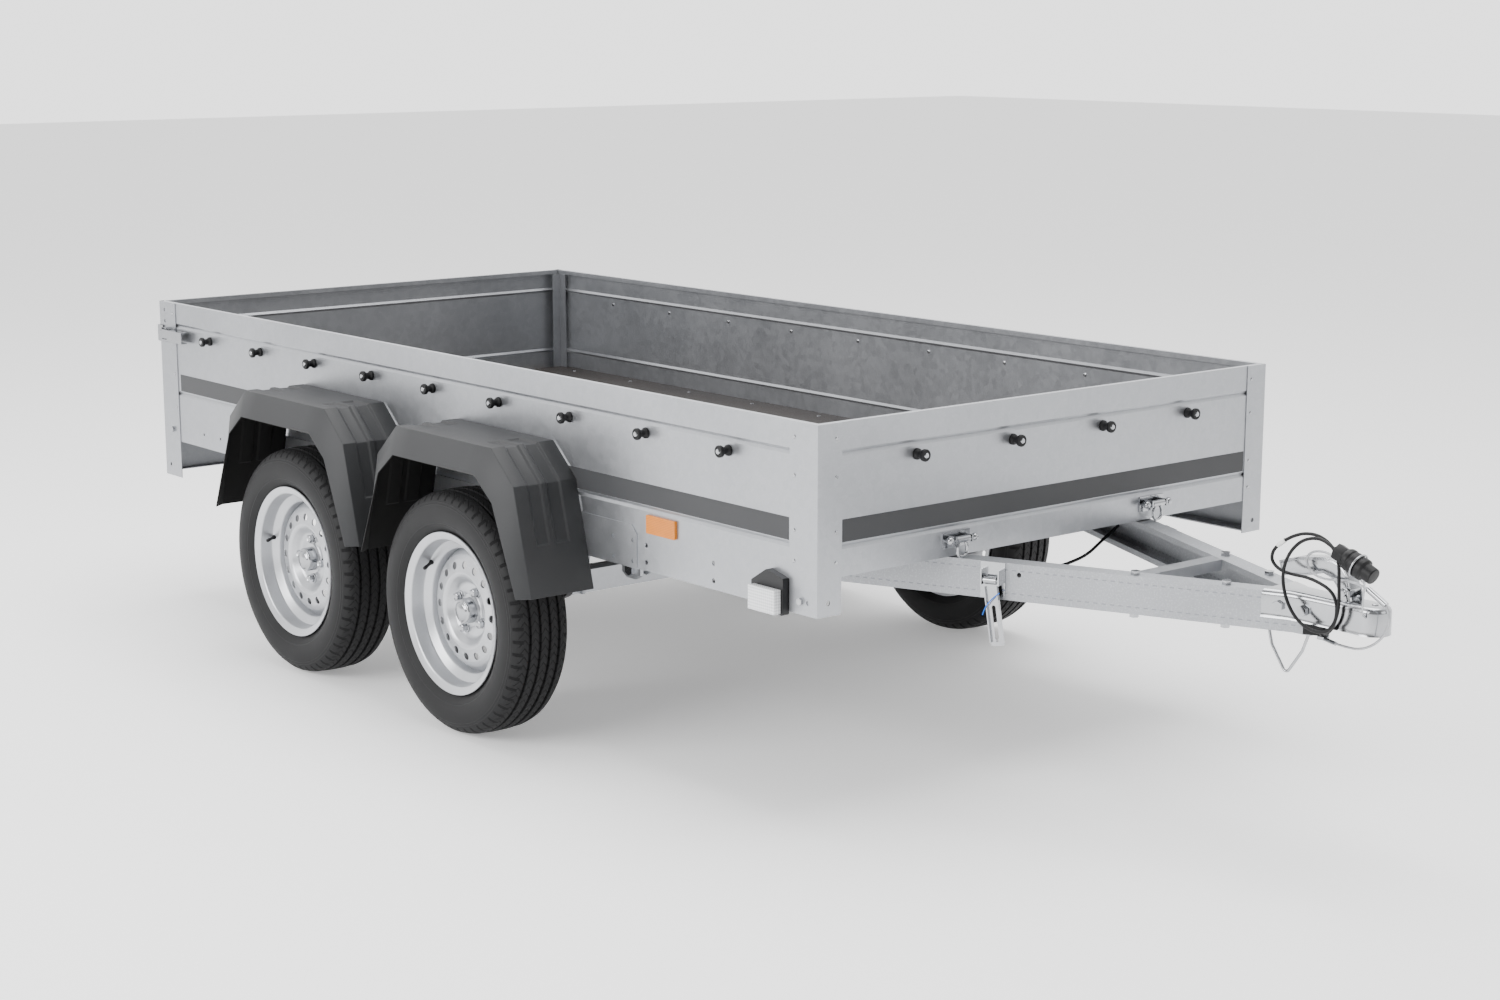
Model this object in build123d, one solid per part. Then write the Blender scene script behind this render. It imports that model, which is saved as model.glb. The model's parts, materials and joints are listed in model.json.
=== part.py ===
"""Twin-axle, low-sided galvanised box trailer with a tipping V drawbar.

+X points forward to the coupling, +Y to the left, +Z up. Z = 0 is the ground and X = 0 is the
middle of the overall length. Left-hand pieces are made first and mirrored to the right.
"""
from build123d import *
import math
import os

os.makedirs("parts", exist_ok=True)

# ---- overall sizes (mm) ----
BOX_LENGTH = 2680.0        # outside, rear edge to front panel
BOX_WIDTH = 1314.0         # outside the side panels
DRAWBAR_REACH = 830.0      # coupling nose ahead of the front panel
REAR_REACH = 20.0          # gate straps behind the box
RIM_Z = 810.0              # top of the panels above the ground
PANEL_HEIGHT = 302.0

# ---- sheet metal ----
SHEET = 1.5
HEM = 12.0                 # folded-in hem along the top and bottom of a panel
BEAD_FROM_TOP = 60.0
BEAD_FROM_BOTTOM = 60.0
BEAD_DEPTH = 4.0
BEAD_HALF = 6.0
POST_SHEET = 2.0
FLOOR_THICKNESS = 9.0
FLOOR_GAP = 1.0

# ---- chassis ----
RAIL_HEIGHT = 72.0
RAIL_FLANGE = 45.0
RAIL_WALL = 3.0
CROSS_WIDTH = 40.0
CROSS_HEIGHT = 60.0
CROSS_WALL = 3.0
CROSS_FIRST = 7.0          # rear cross member ahead of the rear edge
CROSS_LAST = 130.0         # front cross member behind the drawbar's pivot
CROSS_SHARES = (0.0, 0.218, 0.419, 0.752, 1.0)
GUARD_PLATE = 3.0
GUARD_PLATE_ABOVE = 19.0   # top edge above the rail
GUARD_PLATE_BELOW = 1.0
GUARD_PLATE_OVERHANG = 481.0

# ---- corner posts ----
POST_SIDE = 80.0
POST_END = 60.0
FRONT_POST_DROP = 1.0      # feet of the posts below the rails
REAR_POST_DROP = 99.0
REAR_POST_BEHIND = 12.0
POST_RETURN = 12.0
POST_INNER = 28.0

# ---- running gear ----
RIM_RADIUS = 182.5         # top of the rim's flange
TYRE_SECTION = 91.0        # from the flange to the tread
SEAT_DROP = 14.5           # the tyre's bead seat below the flange
WELL_DROP = 23.0           # the rim's well below the seat
RIM_WALL = 4.0
TYRE_WIDTH = 155.0
SEAT_TAPER = 3.0
SEAT_WIDTH = 25.0
FLANGE_LEAN = 9.0
WHEEL_GAP = 14.5           # between the box side and the tyre
AXLES_BEHIND_MIDDLE = 54.0 # middle of the wheel pair behind the middle of the box
WHEEL_SPACING = 692.0
ARM_REACH = 190.0          # trailing arm, along X
ARM_RISE = 79.5            # axle tube above the wheel centre
ARM_THICKNESS = 16.0
ARM_INSET = 5.0            # outer face of the arms inside the box's side
TUBE = 50.0
TUBE_WALL = 4.0
TRUNNION_RADIUS = 20.0
STUB_RADIUS = 15.0
RUNNING = 0.05             # radial clearance of pins and shafts
TUBE_PLUG = 80.0           # length of the bored end of an axle tube
BOLT_CIRCLE = 100.0
HUB_BORE = 29.0
VENT_COUNT = 16
VENT_RADIUS = 9.0
VENT_CIRCLE = 0.7376       # share of the disc's radius

# ---- mudguards ----
GUARD_WALL = 3.0
GUARD_FOOT = 92.5          # foot of the skirt above the wheel's middle
GUARD_RISE = 304.0
GUARD_INSET = 4.5          # skirt inside the tyre's outer wall
GUARD_LIP_OUT = 28.0       # lip outside the skirt

# ---- drawbar ----
BAR_HEIGHT = 75.0
BAR_WIDTH = 42.0
BAR_WALL = 3.0
BAR_LIP = 12.0
BAR_DROP = 3.0             # top of the bars below the panels
BAR_TIP_HALF = 0.57        # outer face of a bar from the middle, at the cut tip
BAR_EAR_GAP = 8.8          # between a bar's outer face and its ear's, at the pivot
TIP_BEHIND_NOSE = 130.0
PIVOT_AHEAD = 208.0        # tipping pivot ahead of the front axle tube
PIVOT_DROP = 22.0          # pivot below the rails
PIVOT_RADIUS = 8.0
LUG_TO_EAR = 29.0
EAR_THICKNESS = 8.0
TIE_AHEAD = 320.0
TIE_WIDTH = 36.0
TIE_HEIGHT = 22.0

# ---- coupling ----
BALL_RADIUS = 25.0
BALL_CLEARANCE = 0.4
SOCKET_RADIUS = 34.0
SOCKET_DROP = 28.0         # ball centre below the top of the bars
HEAD_WALL = 4.0
HEAD_HEIGHT = 54.0
HEAD_REAR_BEHIND_BEND = 49.0
HEAD_BOLT_BEHIND_BEND = 21.0
HEAD_BOLT_AHEAD_OF_BEND = 35.0
HEAD_BOLT_DROP = 26.0
HEAD_BEND_Y = 30.0         # where the head's sides leave the bars
HANDLE_WIDTH = 34.0
HANDLE_WALL = 3.0
HANDLE_PIN_RADIUS = 4.0
HANDLE_PIN_BEHIND_NOSE = 85.0
HANDLE_PIN_RISE = 19.0

# ---- tailgate and its latches ----
GATE_PROUD = 10.0
GATE_SIDE_GAP = 3.0
HINGE_DROP = 10.0
HINGE_INSET = 207.0
KNUCKLE_RADIUS = 7.0
HINGE_PIN_RADIUS = 4.0
LATCH_DROP = 86.0          # below the rim of the box
LATCH_LENGTH = 108.0
LATCH_HEIGHT = 30.0
LATCH_PIN_RADIUS = 2.5
LATCH_PIN_FROM_REAR = 40.0
LATCH_PIN_STANDOFF = 9.0
LINK_PIN_AHEAD = 22.0
LINK_PIN_OUT = 6.0
LINK_HALF = 10.0

# ---- drawbar locks ----
LOCK_AHEAD = 88.0          # toggle centre along the bar from the front panel
LOCK_WIDTH = 52.0
TOGGLE_PIN_DROP = 35.0     # below the top of the bars
TOGGLE_LENGTH = 133.0
TOGGLE_WIDTH = 28.0
TOGGLE_STANDOFF = 14.0
TOGGLE_LEAN = 8.0
RING_INSET = 7.0           # inside the bar's outer face at the front panel
RING_PIN_RISE = 40.0
RING_PIN_OUT = 20.0
RING_ROD = 3.5

# ---- small parts ----
KNOB_DROP = 83.5
KNOB_COUNT = 9
KNOB_END = 266.0           # from the ends of the box to the first knob
KNOB_FRONT_COUNT = 4
KNOB_FRONT_END = 257.0
KNOB_RADIUS = 12.5
KNOB_LENGTH = 28.0
RIVET_RADIUS = 4.0
RIVET_HEIGHT = 1.6
REFLECTOR_AHEAD = 85.0     # middle ahead of the mudguards' plate
REFLECTOR_LENGTH = 96.0
REFLECTOR_HEIGHT = 39.0
MARKER_LENGTH = 96.0       # front marker lamps
MARKER_HEIGHT = 85.0
MARKER_DEPTH = 16.0
REAR_LAMP_INSET = 157.0
REAR_LAMP_WIDTH = 190.0
REAR_LAMP_HEIGHT = 100.0
REAR_LAMP_BACK = 7.0

# ---- places that follow from the sizes ----
OVERALL = REAR_REACH + BOX_LENGTH + DRAWBAR_REACH
REAR_X = REAR_REACH - OVERALL / 2
FRONT_X = REAR_X + BOX_LENGTH
NOSE_X = FRONT_X + DRAWBAR_REACH
HALF_W = BOX_WIDTH / 2
PANEL_Z = RIM_Z - PANEL_HEIGHT
RAIL_Z = PANEL_Z - RAIL_HEIGHT
FLOOR_Z = PANEL_Z + SHEET
FRONT_POST_FOOT = RAIL_Z - FRONT_POST_DROP
REAR_POST_FOOT = RAIL_Z - REAR_POST_DROP
GUARD_PLATE_TOP = PANEL_Z + GUARD_PLATE_ABOVE
GUARD_PLATE_BOTTOM = RAIL_Z - GUARD_PLATE_BELOW
WHEELS_X = (REAR_X + FRONT_X) / 2 - AXLES_BEHIND_MIDDLE
AXLES = {"rear": WHEELS_X - WHEEL_SPACING / 2, "front": WHEELS_X + WHEEL_SPACING / 2}
PIVOT_X = AXLES["front"] + ARM_REACH + PIVOT_AHEAD
PIVOT_BEHIND_FRONT = FRONT_X - PIVOT_X
PIVOT_Z = RAIL_Z - PIVOT_DROP
BAR_TOP = PANEL_Z - BAR_DROP
BAR_BOTTOM = BAR_TOP - BAR_HEIGHT
TIP_X = NOSE_X - TIP_BEHIND_NOSE
LUG_FACE = HALF_W - RAIL_FLANGE
EAR_FACE = LUG_FACE - LUG_TO_EAR
BAR_RUN = DRAWBAR_REACH - TIP_BEHIND_NOSE
BAR_SLOPE = (EAR_FACE - BAR_EAR_GAP - BAR_TIP_HALF) / (PIVOT_BEHIND_FRONT + BAR_RUN)
BAR_ANGLE = math.degrees(math.atan(BAR_SLOPE))
BAR_START = BAR_TIP_HALF + BAR_RUN * BAR_SLOPE
BALL_X = NOSE_X - SOCKET_RADIUS
SOCKET_Z = BAR_TOP - SOCKET_DROP
HANDLE_PIN_Z = BAR_TOP + HANDLE_PIN_RISE
TOGGLE_PIN_Z = BAR_TOP - TOGGLE_PIN_DROP
TOGGLE_TIP_Z = TOGGLE_PIN_Z - TOGGLE_LENGTH
RING_Y = BAR_START - RING_INSET
RING_PIN_Z = BAR_TOP + RING_PIN_RISE
HANDLE_X = NOSE_X - HANDLE_PIN_BEHIND_NOSE
GATE_HALF = HALF_W - HEM - GATE_SIDE_GAP
HINGE_X = REAR_X - GATE_PROUD + 4.0
HINGE_Z = PANEL_Z - HINGE_DROP
HINGE_AT = HALF_W - HINGE_INSET
TYRE_RADIUS = RIM_RADIUS + TYRE_SECTION
SEAT_RADIUS = RIM_RADIUS - SEAT_DROP
WELL_RADIUS = SEAT_RADIUS - WELL_DROP
DISC_RADIUS = WELL_RADIUS - RIM_WALL
ARM_FACE = HALF_W - ARM_INSET
TYRE_IN = HALF_W + WHEEL_GAP
TYRE_OUT = TYRE_IN + TYRE_WIDTH
RIM_OUT = TYRE_OUT - 14.0
RIM_IN = TYRE_IN + 14.0
DISC_Y = (RIM_OUT + RIM_IN) / 2 + 12.0
STUB_END = DISC_Y + 6.0
GUARD_OUTER = TYRE_OUT - GUARD_INSET
GUARD_LIP = GUARD_OUTER + GUARD_LIP_OUT
KNOB_Z = RIM_Z - KNOB_DROP
LATCH_Z = RIM_Z - LATCH_DROP
HEAD_BEND_X = FRONT_X + (BAR_START - HEAD_BEND_Y) / BAR_SLOPE
POST_FACE = HALF_W + POST_SHEET
LATCH_PIN_X = REAR_X + LATCH_PIN_FROM_REAR
LATCH_PIN_Y = POST_FACE + LATCH_PIN_STANDOFF


# ---- helpers ----
def save(shape, node):
    """Write one node, which is a solid or a list of separate solids."""
    solids = list(shape) if isinstance(shape, (list, tuple)) else [shape]
    solids = [solid for item in solids for solid in item.solids()]
    export_step(solids[0] if len(solids) == 1 else Compound(solids), f"parts/{node}.step")


def right(shape):
    """The right-hand copy of a left-hand shape."""
    return mirror(shape, about=Plane.XZ)


def both(shape):
    return [shape, right(shape)]


def save_pair(shape, name):
    """Write the left-hand node and its mirrored right-hand one."""
    items = shape if isinstance(shape, list) else [shape]
    save(items, f"{name}_left")
    save([right(item) for item in items], f"{name}_right")


def along_x(points, start, end):
    """A section of (y, z) points, run from start to end along X."""
    face = make_face(Polyline(*points, close=True))
    return extrude(Plane.YZ.offset(start) * face, amount=end - start)


def along_y(points, start, end):
    """An outline of (x, z) points, run from start to end along Y."""
    face = make_face(Polyline(*points, close=True))
    return extrude(Plane.XZ.offset(-start) * face, amount=start - end)


def block(x0, x1, y0, y1, z0, z1):
    size = Box(x1 - x0, y1 - y0, z1 - z0, align=(Align.MIN, Align.MIN, Align.MIN))
    return Pos(x0, y0, z0) * size


def rod(start, end, radius, sides=0):
    """A round or polygonal bar between two points."""
    start = Vector(*start)
    end = Vector(*end)
    plane = Plane(origin=start, z_dir=end - start)
    face = RegularPolygon(radius, sides) if sides else Circle(radius)
    return extrude(plane * face, amount=(end - start).length)


def dome(place, direction, radius=RIVET_RADIUS, height=RIVET_HEIGHT):
    """A low round rivet head on a face."""
    plane = Plane(origin=place, z_dir=direction)
    head = extrude(plane * Circle(radius), amount=height)
    return chamfer(head.edges().filter_by(GeomType.CIRCLE).sort_by(
        Axis(place, direction))[-1], height * 0.6)


def hex_bolt(place, direction, across, head, shank_radius=0.0, shank=0.0):
    """A hexagon head that stands on a face, with a shank that runs back into it."""
    plane = Plane(origin=place, z_dir=direction)
    bolt = extrude(plane * RegularPolygon(across / math.sqrt(3), 6), amount=head)
    if shank:
        bolt += extrude(plane * Circle(shank_radius), amount=-shank)
    return bolt


# ---- box ----
def panel_section(face, top, bottom):
    """Sheet with two pressed beads and hems, as (across, z) points; face is its outer face."""
    levels = []
    for bead in (top - BEAD_FROM_TOP, bottom + BEAD_FROM_BOTTOM):
        levels += [(0, bead + BEAD_HALF), (BEAD_DEPTH, bead), (0, bead - BEAD_HALF)]
    outer = [(face, top)] + [(face - depth, z) for depth, z in levels] + [(face, bottom)]
    inner = [(face - depth - SHEET, z) for depth, z in reversed(levels)]
    foot = [(face - HEM, bottom), (face - HEM, bottom + SHEET), (face - SHEET, bottom + SHEET)]
    hem = [(face - SHEET, top - SHEET), (face - HEM + SHEET, top - SHEET),
           (face - HEM + SHEET, top - HEM), (face - HEM, top - HEM), (face - HEM, top)]
    return outer + foot + inner + hem


def side_panel():
    return along_x(panel_section(HALF_W, RIM_Z, PANEL_Z), REAR_X, FRONT_X)


def front_panel():
    half = HALF_W - HEM
    return along_y(panel_section(FRONT_X, RIM_Z, PANEL_Z), -half, half)


def floor_board():
    """Board with its corners notched round the inner angles, which stand on the rails."""
    half = HALF_W - SHEET - FLOOR_GAP
    top = FLOOR_Z + FLOOR_THICKNESS
    board = block(REAR_X + HEM, FRONT_X - SHEET - FLOOR_GAP, -half, half, FLOOR_Z, top)
    slot = POST_SHEET + 1
    for corner_x, sign in ((REAR_X + HEM, 1), (FRONT_X - HEM, -1)):
        outer_x = corner_x - sign * HEM
        long_x = sorted((outer_x, corner_x + sign * (POST_INNER + 1)))
        short_x = sorted((outer_x, corner_x + sign * slot))
        for side in (1, -1):
            edge = side * HALF_W
            beside = sorted((edge, side * (HALF_W - HEM - slot)))
            ahead = sorted((edge, side * (HALF_W - HEM - POST_INNER - 1)))
            board -= block(*long_x, *beside, FLOOR_Z, top)
            board -= block(*short_x, *ahead, FLOOR_Z, top)
    return board


def inner_angle(corner_x, sign):
    """Small angle inside a corner; sign points from the corner into the box along X."""
    y_side = HALF_W - HEM
    foot = PANEL_Z + SHEET
    leg_x = block(*sorted((corner_x, corner_x + sign * POST_INNER)),
                  y_side - POST_SHEET, y_side, foot, RIM_Z - HEM)
    leg_y = block(*sorted((corner_x, corner_x + sign * POST_SHEET)),
                  y_side - POST_INNER, y_side, foot, RIM_Z - HEM)
    return leg_x + leg_y


def front_post():
    outer = block(FRONT_X - POST_SIDE, FRONT_X + POST_SHEET, HALF_W, POST_FACE,
                  FRONT_POST_FOOT, RIM_Z)
    outer += block(FRONT_X, FRONT_X + POST_SHEET, HALF_W - POST_END, POST_FACE,
                   FRONT_POST_FOOT, RIM_Z)
    corner = outer.edges().filter_by(Axis.Z).group_by(Axis.X)[-1].sort_by(Axis.Y)[-1]
    outer = fillet(corner, POST_SHEET * 0.9)
    hole = rod((FRONT_X - 25, HALF_W, FRONT_POST_FOOT + 26),
               (FRONT_X - 25, POST_FACE, FRONT_POST_FOOT + 26), 5)
    end_hole = rod((FRONT_X, HALF_W - 26, FRONT_POST_FOOT + 26),
                   (FRONT_X + POST_SHEET, HALF_W - 26, FRONT_POST_FOOT + 26), 5)
    return [outer - hole - end_hole, inner_angle(FRONT_X - HEM, -1)]


def rear_post():
    back = REAR_X - REAR_POST_BEHIND
    outer = block(back, REAR_X + POST_SIDE - REAR_POST_BEHIND + 8, HALF_W, POST_FACE,
                  REAR_POST_FOOT, RIM_Z)
    outer += block(back, back + POST_SHEET, HALF_W - POST_RETURN, POST_FACE,
                   REAR_POST_FOOT, RIM_Z)
    for z in (RIM_Z - 22, RIM_Z - 52, REAR_POST_FOOT + 30):
        outer -= rod((REAR_X + 16, HALF_W, z), (REAR_X + 16, POST_FACE, z), 4.5)
    return [outer, inner_angle(REAR_X + HEM, 1)]


# ---- chassis ----
def side_rail():
    web = HALF_W - RAIL_WALL
    lip = HALF_W - RAIL_FLANGE
    section = [(HALF_W, RAIL_Z), (HALF_W, PANEL_Z), (lip, PANEL_Z),
               (lip, PANEL_Z - RAIL_WALL), (web, PANEL_Z - RAIL_WALL),
               (web, RAIL_Z + RAIL_WALL), (lip, RAIL_Z + RAIL_WALL), (lip, RAIL_Z)]
    rail = along_x(section, REAR_X, FRONT_X)
    for x in (FRONT_X - 537, FRONT_X - 315):
        for z in (RAIL_Z + 18, RAIL_Z + 54):
            rail -= rod((x, web, z), (x, HALF_W, z), 5)
    for x in (REAR_X + 210, REAR_X + 300):
        rail -= rod((x, web, RAIL_Z + 36), (x, HALF_W, RAIL_Z + 36), 3.5)
    return rail


def cross_member(x):
    """Channel across the frame, open to the front, under the floor board."""
    half = HALF_W - RAIL_FLANGE
    base = FLOOR_Z - CROSS_HEIGHT
    section = [(x, base), (x, FLOOR_Z), (x + CROSS_WIDTH, FLOOR_Z),
               (x + CROSS_WIDTH, FLOOR_Z - CROSS_WALL), (x + CROSS_WALL, FLOOR_Z - CROSS_WALL),
               (x + CROSS_WALL, base + CROSS_WALL), (x + CROSS_WIDTH, base + CROSS_WALL),
               (x + CROSS_WIDTH, base)]
    return along_y(section, -half, half)


def guard_plate_reach():
    """Ends of the plate that carries the mudguards, and of its chamfered front corner."""
    rear = AXLES["rear"] - GUARD_PLATE_OVERHANG
    front = AXLES["front"] + GUARD_PLATE_OVERHANG
    return rear, front


def guard_plate():
    rear, front = guard_plate_reach()
    outline = [(rear, GUARD_PLATE_BOTTOM), (front, GUARD_PLATE_BOTTOM),
               (front, GUARD_PLATE_TOP - 18), (front - 16, GUARD_PLATE_TOP),
               (rear + 16, GUARD_PLATE_TOP), (rear, GUARD_PLATE_TOP - 18)]
    plate = along_y(outline, HALF_W, HALF_W + GUARD_PLATE)
    for x in (front - 13, front - 80):
        for z in (RAIL_Z + 14, RAIL_Z + 58):
            plate -= rod((x, HALF_W, z), (x, HALF_W + GUARD_PLATE, z), 4.5)
    return plate


def pivot_lug():
    outline = [(PIVOT_X - 32, RAIL_Z + 50), (PIVOT_X - 32, PIVOT_Z - 10), (PIVOT_X - 16, PIVOT_Z - 20),
               (PIVOT_X + 16, PIVOT_Z - 20), (PIVOT_X + 32, PIVOT_Z - 10), (PIVOT_X + 32, RAIL_Z + 50)]
    lug = along_y(outline, LUG_FACE - EAR_THICKNESS, LUG_FACE)
    return lug - rod((PIVOT_X, LUG_FACE - 20, PIVOT_Z), (PIVOT_X, LUG_FACE + 5, PIVOT_Z),
                     PIVOT_RADIUS + RUNNING)


def light_board():
    top = HINGE_Z - KNUCKLE_RADIUS - 1.0
    bottom = REAR_POST_FOOT + 12
    half = HALF_W - POST_RETURN
    section = [(REAR_X, bottom), (REAR_X, top), (REAR_X + 7, top), (REAR_X + 7, top - 2),
               (REAR_X + 2, top - 2), (REAR_X + 2, bottom + 2), (REAR_X + 20, bottom + 2),
               (REAR_X + 20, bottom)]
    board = along_y(section, -HALF_W, HALF_W)
    for side in (1, -1):
        board -= block(REAR_X - 1, REAR_X + 30, *sorted((side * half * 2, side * (HALF_W - RAIL_WALL))),
                       bottom - 1, top + 1)
    for side in (1, -1):
        rail_zone = sorted((side * (HALF_W + 1), side * (HALF_W - RAIL_FLANGE - 1)))
        board -= block(REAR_X - 1, REAR_X + 30, *rail_zone, RAIL_Z - 1, top + 1)
    return board


def knob(place, direction):
    """Rubber tarp button with a waist, on the outside of a panel."""
    profile = [(0, 0), (KNOB_RADIUS, 0), (KNOB_RADIUS, 4), (6.5, 9), (6.5, 19),
               (KNOB_RADIUS - 1, 23), (KNOB_RADIUS - 1, KNOB_LENGTH), (0, KNOB_LENGTH)]
    turned = revolve(Plane.XZ * make_face(Polyline(*profile, close=True)), Axis.Z)
    return Plane(origin=place, z_dir=direction) * turned


def knob_places():
    pitch = (BOX_LENGTH - 2 * KNOB_END) / (KNOB_COUNT - 1)
    for index in range(KNOB_COUNT):
        x = REAR_X + KNOB_END + index * pitch
        for side in (1, -1):
            yield (x, side * HALF_W, KNOB_Z), (0, side, 0)
    pitch = (BOX_WIDTH - 2 * KNOB_FRONT_END) / (KNOB_FRONT_COUNT - 1)
    for index in range(KNOB_FRONT_COUNT):
        yield (FRONT_X, index * pitch + KNOB_FRONT_END - HALF_W, KNOB_Z), (1, 0, 0)


def chassis_fasteners():
    """Rivets on the posts, screws in the tarp buttons and the two drawbar pivot bolts."""
    left = []
    for z in (RIM_Z - 30, RIM_Z - 105, PANEL_Z + 90, PANEL_Z + 30):
        left.append(dome((FRONT_X + POST_SHEET, HALF_W - POST_END + 14, z), (1, 0, 0)))
        left.append(dome((FRONT_X - POST_SIDE + 14, POST_FACE, z), (0, 1, 0)))
    for z in (RIM_Z - 30, PANEL_Z + 110, PANEL_Z + 20):
        left.append(dome((REAR_X + 60, POST_FACE, z), (0, 1, 0)))
    left.append(hex_bolt((FRONT_X - 45, POST_FACE, RAIL_Z + 25), (0, 1, 0), 13, 6))
    left.append(hex_bolt((REAR_X + 40, POST_FACE, RAIL_Z + 30), (0, 1, 0), 13, 6))
    left.append(hex_bolt((PIVOT_X, LUG_FACE, PIVOT_Z), (0, 1, 0), 24, 8, PIVOT_RADIUS,
                         LUG_FACE - EAR_FACE + EAR_THICKNESS + 6))
    heads = left + [right(item) for item in left]
    for place, direction in knob_places():
        tip = Vector(*place) + Vector(*direction) * KNOB_LENGTH
        heads.append(dome(tuple(tip), direction, 5.5, 2.0))
    return heads


def reflectors():
    middle = guard_plate_reach()[1] + REFLECTOR_AHEAD
    half = REFLECTOR_LENGTH / 2
    base = PANEL_Z + 10
    plate = block(middle - half, middle + half, HALF_W, HALF_W + 6, base, base + REFLECTOR_HEIGHT)
    return both(fillet(plate.edges().filter_by(Axis.Y), 3))


# ---- lamps ----
def front_lamp_housing():
    x1 = FRONT_X - POST_SIDE - 2
    x0 = x1 - MARKER_LENGTH
    base = RAIL_Z - 9
    outline = [(x0, base), (x1, base), (x1, base + 73), (x0 + 45, base + MARKER_HEIGHT), (x0, base + 57)]
    housing = along_y(outline, HALF_W, HALF_W + MARKER_DEPTH)
    return fillet(housing.edges().filter_by(Axis.Y), 4)


def front_lens():
    x1 = FRONT_X - POST_SIDE - 8
    face = HALF_W + MARKER_DEPTH
    lens = block(x1 - MARKER_LENGTH + 16, x1, face, face + 18, RAIL_Z - 6, RAIL_Z + 42)
    return fillet(lens.edges().filter_by(Axis.Y) + lens.faces().sort_by(Axis.Y)[-1].edges(), 5)


def rear_lamp():
    y = HALF_W - REAR_LAMP_INSET
    half = REAR_LAMP_WIDTH / 2
    low = RAIL_Z - 74
    high = low + REAR_LAMP_HEIGHT
    seat = REAR_X - REAR_LAMP_BACK
    back = block(seat, REAR_X, y - half, y + half, low, high)
    lens = block(REAR_X - REAR_REACH, seat, y - half + 5, y + half - 5, low + 5, high - 5)
    return fillet(back.edges().filter_by(Axis.X), 8), fillet(lens.edges().filter_by(Axis.X), 7)


# ---- running gear ----
def axle_tube(wheel_x):
    """Square tube with bored ends for the arms, and the brackets that hang it on the rails."""
    x = wheel_x + ARM_REACH
    z = TYRE_RADIUS + ARM_RISE
    end = ARM_FACE - ARM_THICKNESS - 1.0
    tube = block(x - TUBE / 2, x + TUBE / 2, -end, end, z - TUBE / 2, z + TUBE / 2)
    hollow = TUBE / 2 - TUBE_WALL
    tube -= block(x - hollow, x + hollow, -end + TUBE_PLUG, end - TUBE_PLUG, z - hollow, z + hollow)
    tube -= rod((x, -end, z), (x, end, z), TRUNNION_RADIUS + RUNNING)
    for side in (1, -1):
        outline = [(x - 34, z - TUBE / 2), (x + 34, z - TUBE / 2), (x + 60, RAIL_Z), (x - 60, RAIL_Z)]
        y0, y1 = sorted((side * (HALF_W - 50), side * (HALF_W - 42)))
        plate = along_y(outline, y0, y1)
        plate -= block(x - TUBE / 2, x + TUBE / 2, y0, y1, z - TUBE / 2, z + TUBE / 2)
        y0, y1 = sorted((side * (HALF_W - 50), side * (HALF_W - 8)))
        tube += plate + block(x - 60, x + 60, y0, y1, RAIL_Z - 6, RAIL_Z)
    return tube


def swing_arm(wheel_x):
    """Trailing arm with its trunnion in the axle tube and the stub for the wheel."""
    pivot = (wheel_x + ARM_REACH, TYRE_RADIUS + ARM_RISE)
    hub = (wheel_x, TYRE_RADIUS)
    inner = ARM_FACE - ARM_THICKNESS
    along = math.atan2(pivot[1] - hub[1], pivot[0] - hub[0])
    across = along + math.pi / 2
    big, small = 34.0, 28.0
    corners = []
    for centre, radius, sign in ((pivot, big, 1), (hub, small, 1), (hub, small, -1), (pivot, big, -1)):
        corners.append((centre[0] + sign * radius * math.cos(across),
                        centre[1] + sign * radius * math.sin(across)))
    arm = along_y(corners, inner, ARM_FACE)
    arm += rod((pivot[0], inner, pivot[1]), (pivot[0], ARM_FACE, pivot[1]), big)
    arm += rod((hub[0], inner, hub[1]), (hub[0], ARM_FACE, hub[1]), small)
    arm += rod((pivot[0], inner - 60, pivot[1]), (pivot[0], inner, pivot[1]), TRUNNION_RADIUS)
    arm += rod((hub[0], ARM_FACE, hub[1]), (hub[0], STUB_END, hub[1]), STUB_RADIUS)
    return arm


def turned(points, wheel_x):
    """A ring turned about the wheel's axis from (y, radius) points."""
    face = make_face(Polyline(*[(radius, y) for y, radius in points], close=True))
    ring = revolve(Plane.XY * face, Axis.Y)
    return Pos(wheel_x, 0, TYRE_RADIUS) * ring


def tyre(wheel_x):
    """Tyre with rounded shoulders and four grooves round the tread."""
    wall = 12.0
    middle = (TYRE_OUT + TYRE_IN) / 2
    half = TYRE_WIDTH / 2
    rim_half = (RIM_OUT - RIM_IN) / 2
    heel, toe = rim_half - FLANGE_LEAN, rim_half - 25.0
    toe_radius = SEAT_RADIUS - SEAT_TAPER * (heel - toe) / SEAT_WIDTH
    outer = [(4 - rim_half, RIM_RADIUS), (-half + 1, SEAT_RADIUS + 35), (-half, TYRE_RADIUS - 50),
             (-half + 6, TYRE_RADIUS - 22), (-half + 22, TYRE_RADIUS - 5)]
    grooves = []
    for centre in (-38, -13, 13, 38):
        crown = TYRE_RADIUS - 0.0014 * (centre * centre - 13 * 13)
        grooves += [(centre - 4, crown), (centre - 3, crown - 6), (centre + 3, crown - 6),
                    (centre + 4, crown)]
    rising = outer + grooves + [(-y, r) for y, r in reversed(outer)]
    inner = [(heel, SEAT_RADIUS), (toe, toe_radius), (toe + 4, SEAT_RADIUS + 18),
             (half - wall - 3, SEAT_RADIUS + 40), (half - wall - 3, TYRE_RADIUS - 40),
             (half - 36, TYRE_RADIUS - 16)]
    closing = inner + [(-y, r) for y, r in reversed(inner)]
    return turned([(middle + y, r) for y, r in rising + closing], wheel_x)


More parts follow.
